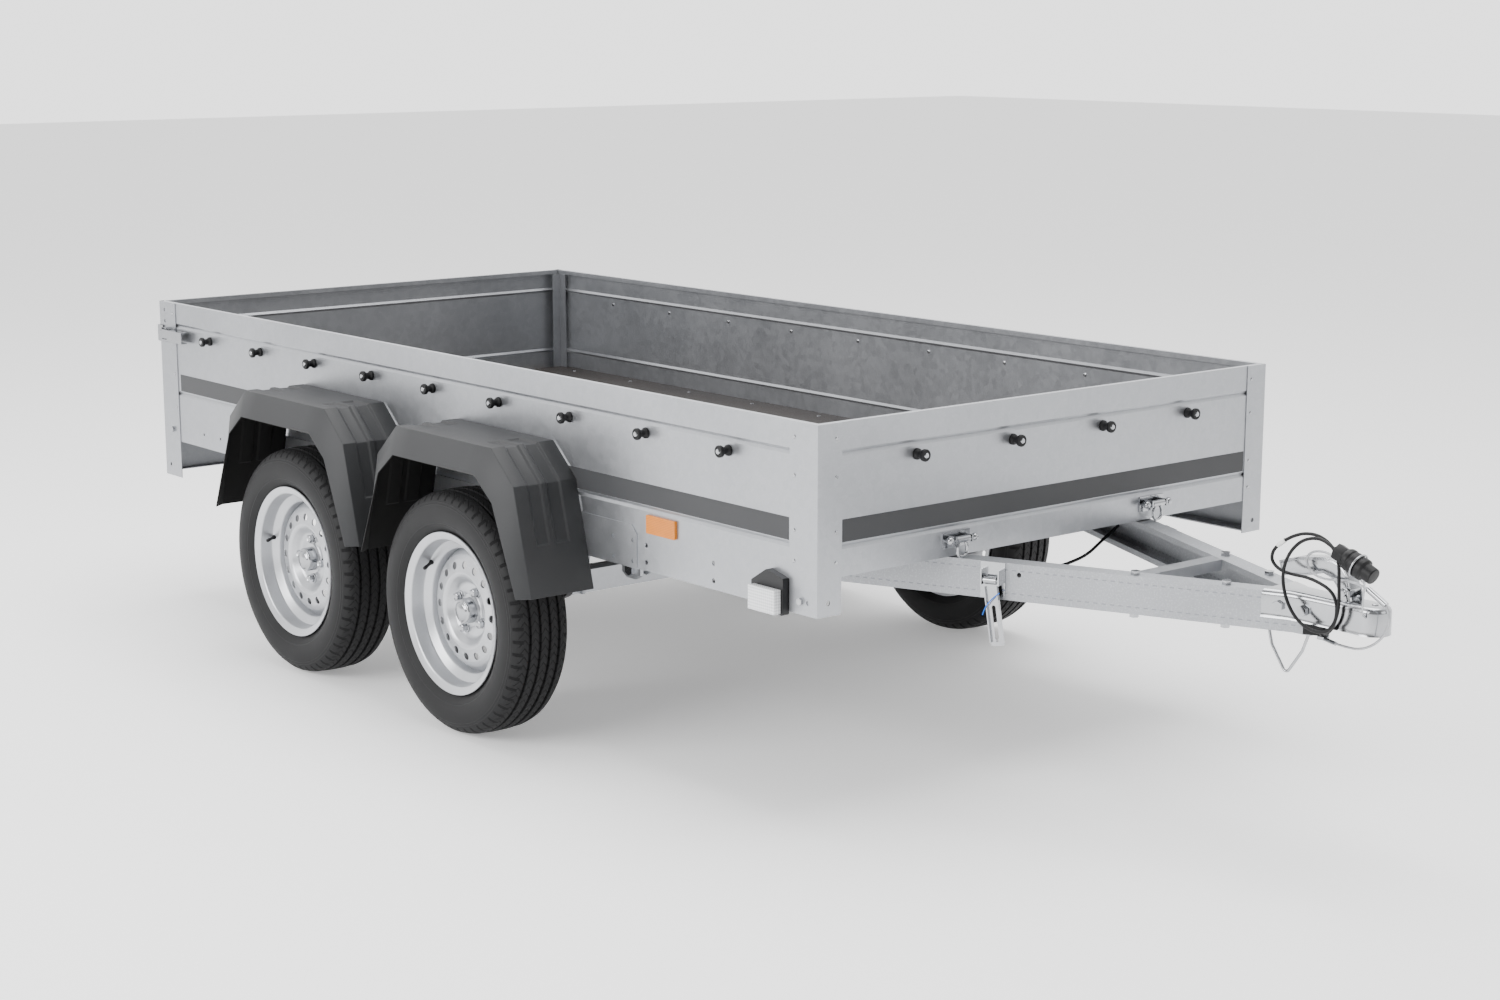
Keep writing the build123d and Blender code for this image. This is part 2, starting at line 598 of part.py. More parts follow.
def rim(wheel_x):
    """Pressed steel rim and disc, the hub behind it, the wheel bolts and the centre cap."""
    seat, well, wall = SEAT_RADIUS, WELL_RADIUS, RIM_WALL
    hump = FLANGE_LEAN + SEAT_WIDTH
    low_seat = seat - SEAT_TAPER
    outer = [(RIM_OUT, RIM_RADIUS), (RIM_OUT - 4, RIM_RADIUS), (RIM_OUT - FLANGE_LEAN, seat),
             (RIM_OUT - hump, low_seat), (RIM_OUT - 44, well), (RIM_IN + 44, well),
             (RIM_IN + hump, low_seat), (RIM_IN + FLANGE_LEAN, seat), (RIM_IN + 4, RIM_RADIUS),
             (RIM_IN, RIM_RADIUS)]
    inner = [(RIM_IN, RIM_RADIUS - wall), (RIM_IN + 6, seat - wall), (RIM_IN + 36, low_seat - wall),
             (RIM_IN + 46, well - wall), (RIM_OUT - 46, well - wall), (RIM_OUT - 36, low_seat - wall),
             (RIM_OUT - 6, seat - wall), (RIM_OUT, RIM_RADIUS - wall)]
    barrel = turned(outer + inner, wheel_x)
    ridge, slope = 0.596 * DISC_RADIUS, 0.837 * DISC_RADIUS
    face = [(DISC_Y + 3, 0), (DISC_Y + 3, 62), (DISC_Y + 14, ridge), (DISC_Y + 8, slope),
            (DISC_Y - 8, DISC_RADIUS), (DISC_Y - 14, DISC_RADIUS), (DISC_Y + 4, slope - 2),
            (DISC_Y + 9, ridge + 2), (DISC_Y - 2, 64), (DISC_Y - 2, 0)]
    disc = turned(face, wheel_x)
    circle = VENT_CIRCLE * DISC_RADIUS
    for index in range(VENT_COUNT):
        vent = rod((circle, -20, 0), (circle, 20, 0), VENT_RADIUS)
        disc -= Pos(wheel_x, DISC_Y, TYRE_RADIUS) * Rot(0, index * 360 / VENT_COUNT, 0) * vent
    disc -= rod((wheel_x, TYRE_IN, TYRE_RADIUS), (wheel_x, TYRE_OUT, TYRE_RADIUS), HUB_BORE)
    drum = [(DISC_Y - 2, STUB_RADIUS + RUNNING), (DISC_Y - 2, 66), (DISC_Y - 12, 66), (DISC_Y - 14, 34),
            (ARM_FACE + 14, 32), (ARM_FACE + 2, 30), (ARM_FACE + 2, STUB_RADIUS + RUNNING)]
    cap = [(DISC_Y - 2, HUB_BORE - 0.1), (DISC_Y + 22, 26), (DISC_Y + 28, 18), (DISC_Y + 28, 0),
           (STUB_END + 2, 0), (STUB_END + 2, 22), (DISC_Y - 2, 22)]
    pieces = [barrel, disc, turned(drum, wheel_x), turned(cap, wheel_x)]
    for index in range(4):
        angle = math.radians(45 + 90 * index)
        x = wheel_x + BOLT_CIRCLE / 2 * math.cos(angle)
        z = TYRE_RADIUS + BOLT_CIRCLE / 2 * math.sin(angle)
        pieces.append(hex_bolt((x, DISC_Y + 3, z), (0, 1, 0), 17, 12))
    return pieces


# ---- mudguards ----
def mudguard(wheel_x):
    """Moulded guard: five flats over the wheel, a skirt down its outer side, open below."""
    z0 = TYRE_RADIUS + GUARD_FOOT
    crest = z0 + GUARD_RISE
    shoulder = crest - 73
    outline = [(-330, z0), (-270, shoulder), (-188, crest), (188, crest), (270, shoulder), (330, z0)]
    mouth = [(-310, z0), (-227, crest - 105), (-170, crest - 55), (170, crest - 55), (227, crest - 105), (310, z0)]
    inner_face = HALF_W + GUARD_PLATE
    shell = along_y([(wheel_x + x, z) for x, z in outline], inner_face, GUARD_OUTER)
    cavity = [(-330 + GUARD_WALL, z0 - 1), (-270 + 2, shoulder - 1), (-188 + 1, crest - GUARD_WALL),
              (188 - 1, crest - GUARD_WALL), (270 - 2, shoulder - 1), (330 - GUARD_WALL, z0 - 1)]
    shell -= along_y([(wheel_x + x, z) for x, z in cavity], inner_face, GUARD_OUTER - GUARD_WALL)
    shell -= along_y([(wheel_x + x, z) for x, z in mouth], GUARD_OUTER - 10, GUARD_OUTER + 1)
    band = [(-322, z0), (-262, shoulder), (-184, crest - 8), (184, crest - 8), (262, shoulder), (322, z0)]
    lip = along_y([(wheel_x + x, z) for x, z in band], GUARD_OUTER, GUARD_LIP)
    lip -= along_y([(wheel_x + x, z) for x, z in mouth], GUARD_OUTER - 1, GUARD_LIP + 1)
    slope = [(GUARD_OUTER, crest + 1), (GUARD_LIP + 1, crest + 1), (GUARD_LIP + 1, crest - 64),
             (GUARD_OUTER, crest - 8)]
    lip -= along_x(slope, wheel_x - 400, wheel_x + 400)
    return shell + lip


# ---- tailgate ----
def tailgate():
    face = REAR_X - GATE_PROUD
    section = [(2 * face - x, z) for x, z in panel_section(face, RIM_Z, PANEL_Z)]
    gate = along_y(section, -GATE_HALF, GATE_HALF)
    for side in (1, -1):
        y0, y1 = sorted((side * (HINGE_AT - 15), side * (HINGE_AT + 15)))
        web = block(HINGE_X - 3, HINGE_X + 3, y0, y1, HINGE_Z, PANEL_Z)
        knuckle = rod((HINGE_X, y0, HINGE_Z), (HINGE_X, y1, HINGE_Z), KNUCKLE_RADIUS)
        gate += web + knuckle
        gate -= rod((HINGE_X, y0, HINGE_Z), (HINGE_X, y1, HINGE_Z), HINGE_PIN_RADIUS + RUNNING)
    return gate


def gate_strap():
    """Keeper on the gate's outer face that wraps past the post and ends in a lip."""
    z0, z1 = LATCH_Z - 22, LATCH_Z + 22
    back = REAR_X - REAR_REACH
    face = REAR_X - GATE_PROUD
    side = POST_FACE + 2
    strap = block(back, back + 2, HALF_W - 61, side + 2, z0, z1)
    strap += block(back + 2, face, HALF_W - 57, HALF_W - 21, z0, z1)
    strap += block(back, REAR_X + 10, side, side + 2, z0, z1)
    strap += block(REAR_X + 8, REAR_X + 10, side + 2, side + 6, z0 + 6, z1 - 6)
    tips = strap.edges().filter_by(Axis.Y).group_by(Axis.X)[0]
    return chamfer([edge for edge in tips if edge.length > 30], 1.0) if tips else strap


def gate_hinge():
    """Fixed half of a gate hinge: a pin between two plates on the rear cross member."""
    front = REAR_X + CROSS_FIRST
    pieces = rod((HINGE_X, HINGE_AT - 25, HINGE_Z), (HINGE_X, HINGE_AT + 25, HINGE_Z), HINGE_PIN_RADIUS)
    for y in (HINGE_AT - 25, HINGE_AT + 16.5):
        disc = rod((HINGE_X, y, HINGE_Z), (HINGE_X, y + 8.5, HINGE_Z), KNUCKLE_RADIUS)
        pieces += disc + block(HINGE_X, front, y, y + 8.5, HINGE_Z - KNUCKLE_RADIUS,
                               HINGE_Z + KNUCKLE_RADIUS)
    return pieces


def latch_base():
    x0, x1 = LATCH_PIN_X - 16, LATCH_PIN_X + 34
    low, high = LATCH_Z - LATCH_HEIGHT / 2 - 4, LATCH_Z + LATCH_HEIGHT / 2 + 4
    base = block(x0, x1, POST_FACE, POST_FACE + 2, low, high)
    for z in (low, high - 2):
        base += block(LATCH_PIN_X - 6, LATCH_PIN_X + 8, POST_FACE, LATCH_PIN_Y + 5, z, z + 2)
    return base + rod((LATCH_PIN_X, LATCH_PIN_Y, low), (LATCH_PIN_X, LATCH_PIN_Y, high),
                      LATCH_PIN_RADIUS)


def latch_lever():
    """Channel-shaped lever on the base's pin, with a cross pin for the link."""
    low, high = LATCH_Z - LATCH_HEIGHT / 2, LATCH_Z + LATCH_HEIGHT / 2
    web = LATCH_PIN_Y + 11
    end = LATCH_PIN_X + LATCH_LENGTH
    lever = block(LATCH_PIN_X - 2, end, web, web + 2, low, high)
    for z in (low, high - 2):
        flange = block(LATCH_PIN_X, end, LATCH_PIN_Y - 4, web, z, z + 2)
        flange += rod((LATCH_PIN_X, LATCH_PIN_Y, z), (LATCH_PIN_X, LATCH_PIN_Y, z + 2), 5)
        flange += block(LATCH_PIN_X - 2, LATCH_PIN_X + 2, LATCH_PIN_Y, web, z, z + 2)
        lever += flange
    lever -= rod((LATCH_PIN_X, LATCH_PIN_Y, low - 1), (LATCH_PIN_X, LATCH_PIN_Y, high + 1),
                 LATCH_PIN_RADIUS + RUNNING)
    pin_x, pin_y = LATCH_PIN_X + LINK_PIN_AHEAD, LATCH_PIN_Y + LINK_PIN_OUT
    lever -= block(LATCH_PIN_X - 3, pin_x + 5, web - 1, web + 3,
                   LATCH_Z - LINK_HALF - 1, LATCH_Z + LINK_HALF + 1)
    return lever + rod((pin_x, pin_y, low), (pin_x, pin_y, high), 2)


def latch_link():
    """Flat hook that the lever pulls along the post, with its end turned in."""
    low, high = LATCH_Z - LINK_HALF, LATCH_Z + LINK_HALF
    pin_x, pin_y = LATCH_PIN_X + LINK_PIN_AHEAD, LATCH_PIN_Y + LINK_PIN_OUT
    hook = REAR_X + 12
    link = block(hook, pin_x, pin_y - 1, pin_y + 1, low, high)
    link += rod((pin_x, pin_y, low), (pin_x, pin_y, high), 3.6)
    link -= rod((pin_x, pin_y, low), (pin_x, pin_y, high), 2 + RUNNING)
    return link + block(hook, hook + 2, POST_FACE + 5, pin_y, low, high)


# ---- drawbar ----
def on_bar(shape):
    """Place a shape from a left bar's own frame: X along the bar, +Y out, from the front panel."""
    return Location((FRONT_X, BAR_START, 0), (0, 0, -BAR_ANGLE)) * shape


def bar_length(x):
    """Distance along a bar from the front panel to a place on the trailer's X axis."""
    return (x - FRONT_X) / math.cos(math.radians(BAR_ANGLE))


def bar_face(x):
    """Half the distance between the two bars' outer faces at x."""
    return BAR_START - (x - FRONT_X) * BAR_SLOPE


def flat(half_outline, base, height):
    """An outline of (x, y) points with its mirror image, run up from base."""
    points = half_outline + [(x, -y) for x, y in reversed(half_outline)]
    face = make_face(Polyline(*points, close=True))
    return extrude(Plane.XY.offset(base) * face, amount=height)


def bar():
    """Channel open to the middle, cut along the middle line at the tip, with its pivot ear."""
    rear, tip = bar_length(PIVOT_X + 2), bar_length(TIP_X + 40)
    low, high, inner = BAR_BOTTOM, BAR_TOP, -BAR_WIDTH
    section = [(0, low), (0, high), (inner, high), (inner, high - BAR_LIP),
               (inner + BAR_WALL, high - BAR_LIP), (inner + BAR_WALL, high - BAR_WALL),
               (-BAR_WALL, high - BAR_WALL), (-BAR_WALL, low + BAR_WALL),
               (inner + BAR_WALL, low + BAR_WALL), (inner + BAR_WALL, low + BAR_LIP),
               (inner, low + BAR_LIP), (inner, low)]
    web = on_bar(along_x(section, rear, tip))
    hole_x = LOCK_AHEAD + LOCK_WIDTH / 2 + 28
    hole_z = BAR_TOP - 22
    web -= on_bar(rod((hole_x, -BAR_WALL, hole_z), (hole_x, 0, hole_z), 5))
    web -= block(PIVOT_X - 100, TIP_X + 200, -200, 0, low - 1, high + 1)
    web -= block(TIP_X, TIP_X + 200, -200, 200, low - 1, high + 1)
    web -= block(PIVOT_X - 200, PIVOT_X + 3, 400, 700, low - 1, high + 1)
    outline = [(PIVOT_X - 16, PIVOT_Z - 14), (PIVOT_X + 16, PIVOT_Z - 14), (PIVOT_X + 60, BAR_BOTTOM + 1),
               (PIVOT_X + 60, BAR_TOP - 5), (PIVOT_X + 3, BAR_TOP - 5), (PIVOT_X - 16, PIVOT_Z + 18)]
    ear = along_y(outline, EAR_FACE - EAR_THICKNESS, EAR_FACE)
    start = BAR_START + PIVOT_BEHIND_FRONT * BAR_SLOPE
    bridge = block(PIVOT_X + 5, PIVOT_X + 58, start - 40, EAR_FACE, BAR_BOTTOM + 20, BAR_BOTTOM + 28)
    ear -= rod((PIVOT_X, EAR_FACE - 20, PIVOT_Z), (PIVOT_X, EAR_FACE + 5, PIVOT_Z),
               PIVOT_RADIUS + RUNNING)
    return web + bridge + ear


def cross_tie():
    """Flat-topped channel between the bars, under their top flanges."""
    x = FRONT_X + TIE_AHEAD
    top = BAR_TOP - BAR_LIP
    inner = BAR_WIDTH / math.cos(math.radians(BAR_ANGLE))
    rear_half = bar_face(x) - inner
    front_half = bar_face(x + TIE_WIDTH) - inner
    slab = flat([(x, rear_half), (x + TIE_WIDTH, front_half)], BAR_TOP - TIE_HEIGHT, TIE_HEIGHT)
    hollow = block(x + 3, x + TIE_WIDTH - 3, -rear_half, rear_half, BAR_TOP - TIE_HEIGHT, BAR_TOP - 3)
    for side in (1, -1):
        y0, y1 = sorted((side * (front_half - 8), side * (rear_half + 1)))
        hollow -= block(x, x + TIE_WIDTH, y0, y1, top - TIE_HEIGHT, BAR_TOP)
    return slab - hollow


def drawbar_bolts():
    """Bolts through the tie's ends and the coupling, with the nuts below the bars."""
    pieces = []
    for side in (1, -1):
        for x in (FRONT_X + TIE_AHEAD + 18, NOSE_X - 325):
            y = side * (bar_face(x) - 20)
            pieces.append(hex_bolt((x, y, BAR_TOP), (0, 0, 1), 17, 8))
            pieces.append(hex_bolt((x, y, BAR_BOTTOM), (0, 0, -1), 17, 9))
    bolt_z = BAR_TOP - HEAD_BOLT_DROP
    rear_place = (bar_length(HEAD_BEND_X - HEAD_BOLT_BEHIND_BEND), HEAD_WALL, bolt_z)
    front_y = HEAD_BEND_Y + HEAD_WALL / math.cos(math.radians(BAR_ANGLE)) - 0.5
    front_place = (HEAD_BEND_X + HEAD_BOLT_AHEAD_OF_BEND, front_y, bolt_z)
    rear_bolt = on_bar(hex_bolt(rear_place, (0, 1, 0), 19, 8))
    front_bolt = hex_bolt(front_place, (0, 1, 0), 19, 8)
    pieces += both(rear_bolt) + both(front_bolt)
    return pieces


def toggle_base():
    """Plate and two ears on a bar's outer face, with the lever's pin."""
    x0, x1 = LOCK_AHEAD - LOCK_WIDTH / 2, LOCK_AHEAD + LOCK_WIDTH / 2
    base = block(x0, x1, 0, 3, BAR_BOTTOM + 2, BAR_TOP)
    for x in (x0 + 6, x1 - 9):
        base += block(x, x + 3, 3, TOGGLE_STANDOFF + 7, TOGGLE_PIN_Z - 9, TOGGLE_PIN_Z + 22)
    return base + rod((x0 + 6, TOGGLE_STANDOFF, TOGGLE_PIN_Z), (x1 - 6, TOGGLE_STANDOFF, TOGGLE_PIN_Z), 4)


def toggle_lever():
    """Slotted lever that hangs from the pin; its eye turns on the pin between the ears."""
    y0, y1 = TOGGLE_STANDOFF - 1.5, TOGGLE_STANDOFF + 1.5
    half = TOGGLE_WIDTH / 2
    blade = block(-half, half, y0, y1, TOGGLE_TIP_Z, TOGGLE_PIN_Z - 4)
    blade = fillet(blade.edges().filter_by(Axis.Y).group_by(Axis.Z)[0], 5)
    for x in (-half, half - 2.5):
        blade += block(x, x + 2.5, y0, y1 + 6, TOGGLE_TIP_Z + 8, TOGGLE_PIN_Z - 12)
    slot = SlotCenterToCenter(60, 9)
    cutter = extrude(Plane.XZ.offset(-y0 + 1) * (Rot(0, 0, 90) * slot), amount=-8)
    blade -= Pos(0, 0, TOGGLE_PIN_Z - 85) * cutter
    blade -= rod((0, y0 - 1, TOGGLE_TIP_Z + 11), (0, y1 + 1, TOGGLE_TIP_Z + 11), 3)
    lean = Pos(0, 0, TOGGLE_PIN_Z) * Rot(0, -TOGGLE_LEAN, 0) * Pos(0, 0, -TOGGLE_PIN_Z)
    blade = lean * blade
    eye = rod((-half + 1, TOGGLE_STANDOFF, TOGGLE_PIN_Z), (half - 1, TOGGLE_STANDOFF, TOGGLE_PIN_Z), 8)
    eye -= rod((-half, TOGGLE_STANDOFF, TOGGLE_PIN_Z), (half, TOGGLE_STANDOFF, TOGGLE_PIN_Z), 4 + RUNNING)
    blade -= rod((-half - 9, TOGGLE_STANDOFF, TOGGLE_PIN_Z), (half + 9, TOGGLE_STANDOFF, TOGGLE_PIN_Z),
                 4 + RUNNING)
    return Pos(LOCK_AHEAD, 0, 0) * (blade + eye)


def ring_bracket():
    """Plate on the front panel with two lugs and the ring's pin with its round ends."""
    x = FRONT_X + RING_PIN_OUT
    plate = block(FRONT_X, FRONT_X + 3, RING_Y - 38, RING_Y + 38, RING_PIN_Z - 18, RING_PIN_Z + 14)
    for y in (RING_Y - 24, RING_Y + 20):
        plate += block(FRONT_X + 3, x + 7, y, y + 4, RING_PIN_Z - 7, RING_PIN_Z + 7)
    plate += rod((x, RING_Y - 34, RING_PIN_Z), (x, RING_Y + 34, RING_PIN_Z), 4)
    for y in (RING_Y - 34, RING_Y + 34):
        plate += Pos(x, y, RING_PIN_Z) * Sphere(8)
    return plate


def locking_ring():
    """Bow that hangs from the pin by its sleeve."""
    x = FRONT_X + RING_PIN_OUT
    half = 13.0
    drop = RING_PIN_Z - BAR_TOP - RING_ROD - 5.5
    path = FilletPolyline((x, RING_Y - 8, RING_PIN_Z - 6), (x, RING_Y - half, RING_PIN_Z - 16),
                          (x, RING_Y - half, RING_PIN_Z - drop - 4),
                          (x, RING_Y + half, RING_PIN_Z - drop - 4),
                          (x, RING_Y + half, RING_PIN_Z - 16), (x, RING_Y + 8, RING_PIN_Z - 6),
                          radius=[4, 11, 11, 4])
    start = Plane(origin=path @ 0, z_dir=path % 0)
    bow = sweep(start * Circle(RING_ROD), path=path)
    sleeve = rod((x, RING_Y - 18, RING_PIN_Z), (x, RING_Y + 18, RING_PIN_Z), 7)
    hole = rod((x, RING_Y - 20, RING_PIN_Z), (x, RING_Y + 20, RING_PIN_Z), 4 + RUNNING)
    return (sleeve + bow) - hole


# ---- coupling ----
def coupling_head():
    """Pressed shell over the drawbar's tip with the ball socket in its nose."""
    rear = HEAD_BEND_X - HEAD_REAR_BEHIND_BEND
    top = BAR_TOP + HEAD_WALL
    low = top - HEAD_HEIGHT
    wall = HEAD_WALL / math.cos(math.radians(BAR_ANGLE))
    side_rear = bar_face(rear)
    neck_x = BALL_X - 60
    outline = [(rear, side_rear + wall), (HEAD_BEND_X, HEAD_BEND_Y + wall), (neck_x, SOCKET_RADIUS - 2),
               (BALL_X, SOCKET_RADIUS)]
    inside = [(rear - 1, side_rear + BAR_SLOPE), (HEAD_BEND_X, HEAD_BEND_Y),
              (neck_x, SOCKET_RADIUS - 2 - HEAD_WALL)]
    body = flat(outline, low, HEAD_HEIGHT)
    body += Pos(BALL_X, 0, low) * Cylinder(SOCKET_RADIUS, HEAD_HEIGHT,
                                           align=(Align.CENTER, Align.CENTER, Align.MIN))
    body = fillet(body.faces().sort_by(Axis.Z)[-1].edges(), 3.5)
    body -= flat(inside, low - 1, BAR_TOP - low + 1)
    ball = BALL_RADIUS + BALL_CLEARANCE
    body -= Pos(BALL_X, 0, SOCKET_Z) * Sphere(ball)
    body -= rod((BALL_X, 0, low - 1), (BALL_X, 0, SOCKET_Z), ball)
    for side in (1, -1):
        y0, y1 = sorted((side * (HANDLE_WIDTH / 2 + 1), side * (HANDLE_WIDTH / 2 + 6)))
        lug = block(HANDLE_X - 12, HANDLE_X + 12, y0, y1, top - 6, HANDLE_PIN_Z + 10)
        body += fillet(lug.edges().filter_by(Axis.Y).group_by(Axis.Z)[-1], 9)
    half = HANDLE_WIDTH / 2 + 8
    return body + rod((HANDLE_X, -half, HANDLE_PIN_Z), (HANDLE_X, half, HANDLE_PIN_Z), HANDLE_PIN_RADIUS)


def coupling_handle():
    """Channel handle that turns on the pin above the socket; its grip points back."""
    pin = HANDLE_PIN_Z
    grip = [(HANDLE_X - 157, pin + 35), (HANDLE_X - 143, pin + 9), (HANDLE_X - 53, pin + 28),
            (HANDLE_X - 33, pin + 21), (HANDLE_X - 11, pin - 6), (HANDLE_X + 2, pin - 11),
            (HANDLE_X + 10, pin + 6), (HANDLE_X - 12, pin + 51), (HANDLE_X - 56, pin + 58)]
    half = HANDLE_WIDTH / 2
    solid = along_y(grip, -half, half)
    inner = [(HANDLE_X - 165, pin - 4), (HANDLE_X - 151, pin + 27), (HANDLE_X - 56, pin + 50),
             (HANDLE_X - 18, pin + 42), (HANDLE_X + 2, pin + 5), (HANDLE_X + 2, pin - 30)]
    solid -= along_y(inner, -half + HANDLE_WALL, half - HANDLE_WALL)
    boss = rod((HANDLE_X, -half, HANDLE_PIN_Z), (HANDLE_X, half, HANDLE_PIN_Z), HANDLE_PIN_RADIUS + 5)
    return (solid + boss) - rod((HANDLE_X, -half, HANDLE_PIN_Z), (HANDLE_X, half, HANDLE_PIN_Z),
                                HANDLE_PIN_RADIUS + RUNNING)


def support_strip():
    """Bent round bar under the tip that keeps the coupling off the ground."""
    top = BAR_BOTTOM - 3
    knee = BAR_BOTTOM - 40
    path = FilletPolyline((NOSE_X - 272, 0, top), (NOSE_X - 262, 0, knee),
                          (NOSE_X - 226, 0, BAR_BOTTOM - 92), (NOSE_X - 190, 0, knee),
                          (NOSE_X - 176, 0, top), radius=[18, 8, 18])
    start = Plane(origin=path @ 0, z_dir=path % 0)
    feet = block(NOSE_X - 284, NOSE_X - 164, -14, 14, top - 1, BAR_BOTTOM)
    return sweep(start * Circle(3), path=path) + feet


# ---- cords and what is on them ----
def from_nose(points):
    """Route points given from the coupling's nose along X and from the top of the bars along Z."""
    return [(NOSE_X + x, y, BAR_TOP + z) for x, y, z in points]


def at_tip(x, y, z):
    """A route's first point, given from the nose along X and from the underside of the bars along Z."""
    return [(NOSE_X + x, y, BAR_BOTTOM + z)]


CABLE_DIAMETER = 6.5
ROPE_DIAMETER = 5.0
LANYARD_DIAMETER = 2.0
WIRING_DIAMETER = 7.0
CABLE_ROUTE = at_tip(-128, -20, 9) + from_nose([
    (-108, -33, -60), (-90, -41, -41), (-83, -42, -16), (-85, -43, 8),
    (-98, -44, 26), (-122, -46, 36), (-151, -47, 42), (-184, -47, 41), (-214, -48, 45),
    (-232, -50, 60), (-228, -52, 80), (-210, -53, 98), (-185, -53, 114), (-157, -52, 125),
    (-130, -47, 125), (-106, -45, 115), (-90, -43, 97), (-82, -43, 73), (-79, -43, 41),
    (-75, -48, 12), (-75, -51, -13), (-83, -52, -38), (-100, -54, -54), (-127, -56, -55),
    (-155, -58, -44), (-177, -59, -22), (-191, -60, 7), (-196, -61, 38), (-190, -62, 68),
    (-173, -64, 95), (-149, -66, 115), (-121, -68, 124), (-95, -70, 123), (-73, -71, 111)])
ROPE_ROUTE = at_tip(-130, -12, -3) + from_nose([
    (-98, -22, -79), (-69, -30, -78), (-38, -36, -76), (-9, -38, -65),
    (14, -38, -46), (27, -38, -24), (30, -38, -2), (21, -38, 18), (2, -38, 33), (-21, -37, 41),
    (-43, -36, 46), (-69, -33, 47), (-98, -30, 43), (-126, -28, 40), (-150, -27, 44),
    (-166, -26, 56), (-170, -26, 72), (-160, -26, 85), (-139, -26, 91), (-115, -27, 89),
    (-89, -28, 81), (-65, -31, 70), (-45, -35, 58), (-27, -40, 51)])
PLUG_START = Vector(*CABLE_ROUTE[-1])
PLUG_END = PLUG_START + Vector(89, 0, -37)
PLUG_RADIUS = 21.0
HOLDER_WIRE = 1.8


def arc_radii(points):
    """The largest arc that the two runs at each corner of a route leave room for."""
    radii = []
    for before, here, after in zip(points, points[1:], points[2:]):
        run_in = Vector(*here) - Vector(*before)
        run_out = Vector(*after) - Vector(*here)
        turn = math.radians(run_in.get_angle(run_out))
        radii.append(0.45 * min(run_in.length, run_out.length) / math.tan(turn / 2))
    return radii


def cord(points, diameter, name):
    """Tube along straight runs joined by tangent arcs."""
    radii = arc_radii(points)
    path = FilletPolyline(*points, radius=radii)
    tube = sweep(Plane(origin=path @ 0, z_dir=path % 0) * Circle(diameter / 2), path=path)
    section = math.pi * diameter ** 2 / 4
    print(f"{name}: {path.length:.0f} mm, volume ratio {tube.volume / section / path.length:.3f},",
          "radii", [round(radius) for radius in radii])
    return tube


def along_plug(distance):
    return PLUG_START + (PLUG_END - PLUG_START).normalized() * distance


def plug():
    """Plug with a hexagon gland at the cable, a round body and a locking tab."""
    length = (PLUG_END - PLUG_START).length
    body = rod(tuple(along_plug(0)), tuple(along_plug(6)), 9)
    body += rod(tuple(along_plug(6)), tuple(along_plug(30)), 17, 6)
    body += rod(tuple(along_plug(30)), tuple(along_plug(74)), PLUG_RADIUS)
    body += rod(tuple(along_plug(74)), tuple(along_plug(length)), PLUG_RADIUS - 5)
    tab = Plane(origin=along_plug(36), x_dir=(0, 1, 0), z_dir=PLUG_END - PLUG_START)
    body += tab * Pos(0, -PLUG_RADIUS - 3, 4) * Box(12, 12, 8)
    return body


def holder():
    """Wire clip round the plug, with its leg down to the coupling's side."""
    axis = (PLUG_END - PLUG_START).normalized()
    centre = along_plug(58)
    ring_radius = PLUG_RADIUS + HOLDER_WIRE
    ring = Plane(origin=centre, z_dir=axis) * Torus(ring_radius, HOLDER_WIRE)
    side = centre + Vector(0, ring_radius, 0)
    foot = Vector(centre.X - 6, -SOCKET_RADIUS + 1, BAR_TOP - 14)
    knee = Vector(foot.X, -SOCKET_RADIUS - 11, BAR_TOP - 6)
    leg = rod(tuple(side), tuple(knee), HOLDER_WIRE) + rod(tuple(knee), tuple(foot), HOLDER_WIRE)
    return ring + leg + Pos(*knee) * Sphere(HOLDER_WIRE)


def rope_ferrules():
    """Crimped sleeves: one at the drawbar's tip, one that closes the eye."""
    first = rod(ROPE_ROUTE[0], ROPE_ROUTE[1], ROPE_DIAMETER / 2 + 1.5)
    first += block(NOSE_X - 147, NOSE_X - 128, -15, -2, BAR_BOTTOM - 6, BAR_BOTTOM)
    start = Vector(*ROPE_ROUTE[8])
    end = Vector(*ROPE_ROUTE[10])
    second = rod(tuple(start), tuple(end), ROPE_DIAMETER + 1)
    return [first, second]


def grommet():
    """Rubber outlet on the right bar's tip where the cable comes out."""
    tip = bar_length(NOSE_X - 173)
    outlet = right(on_bar(block(tip, tip + 42, 0, 12, BAR_BOTTOM + 2, BAR_BOTTOM + 20)))
    start = Vector(*CABLE_ROUTE[0])
    lead = (Vector(*CABLE_ROUTE[1]) - start).normalized()
    return outlet + rod(tuple(start - lead * 12), tuple(start), CABLE_DIAMETER / 2 + 2)


def wiring_route():
    """The lead that crosses under the box's front from the left bar to the right one."""
    x = FRONT_X - 150
    reach = BAR_START + 150 * BAR_SLOPE - BAR_WALL / math.cos(math.radians(BAR_ANGLE))
    z = BAR_BOTTOM + 30
    return [(x, reach, z), (x + 10, reach - 60, z - 22), (x + 18, reach - 120, z - 48),
            (x + 12, reach - 190, z - 62), (x + 4, reach - 262, z - 68), (x - 3, 0, z - 66),
            (x - 8, -reach + 262, z - 69), (x - 3, -reach + 190, z - 62), (x + 4, -reach + 120, z - 48),
            (x + 6, -reach + 60, z - 21), (x, -reach, z)]


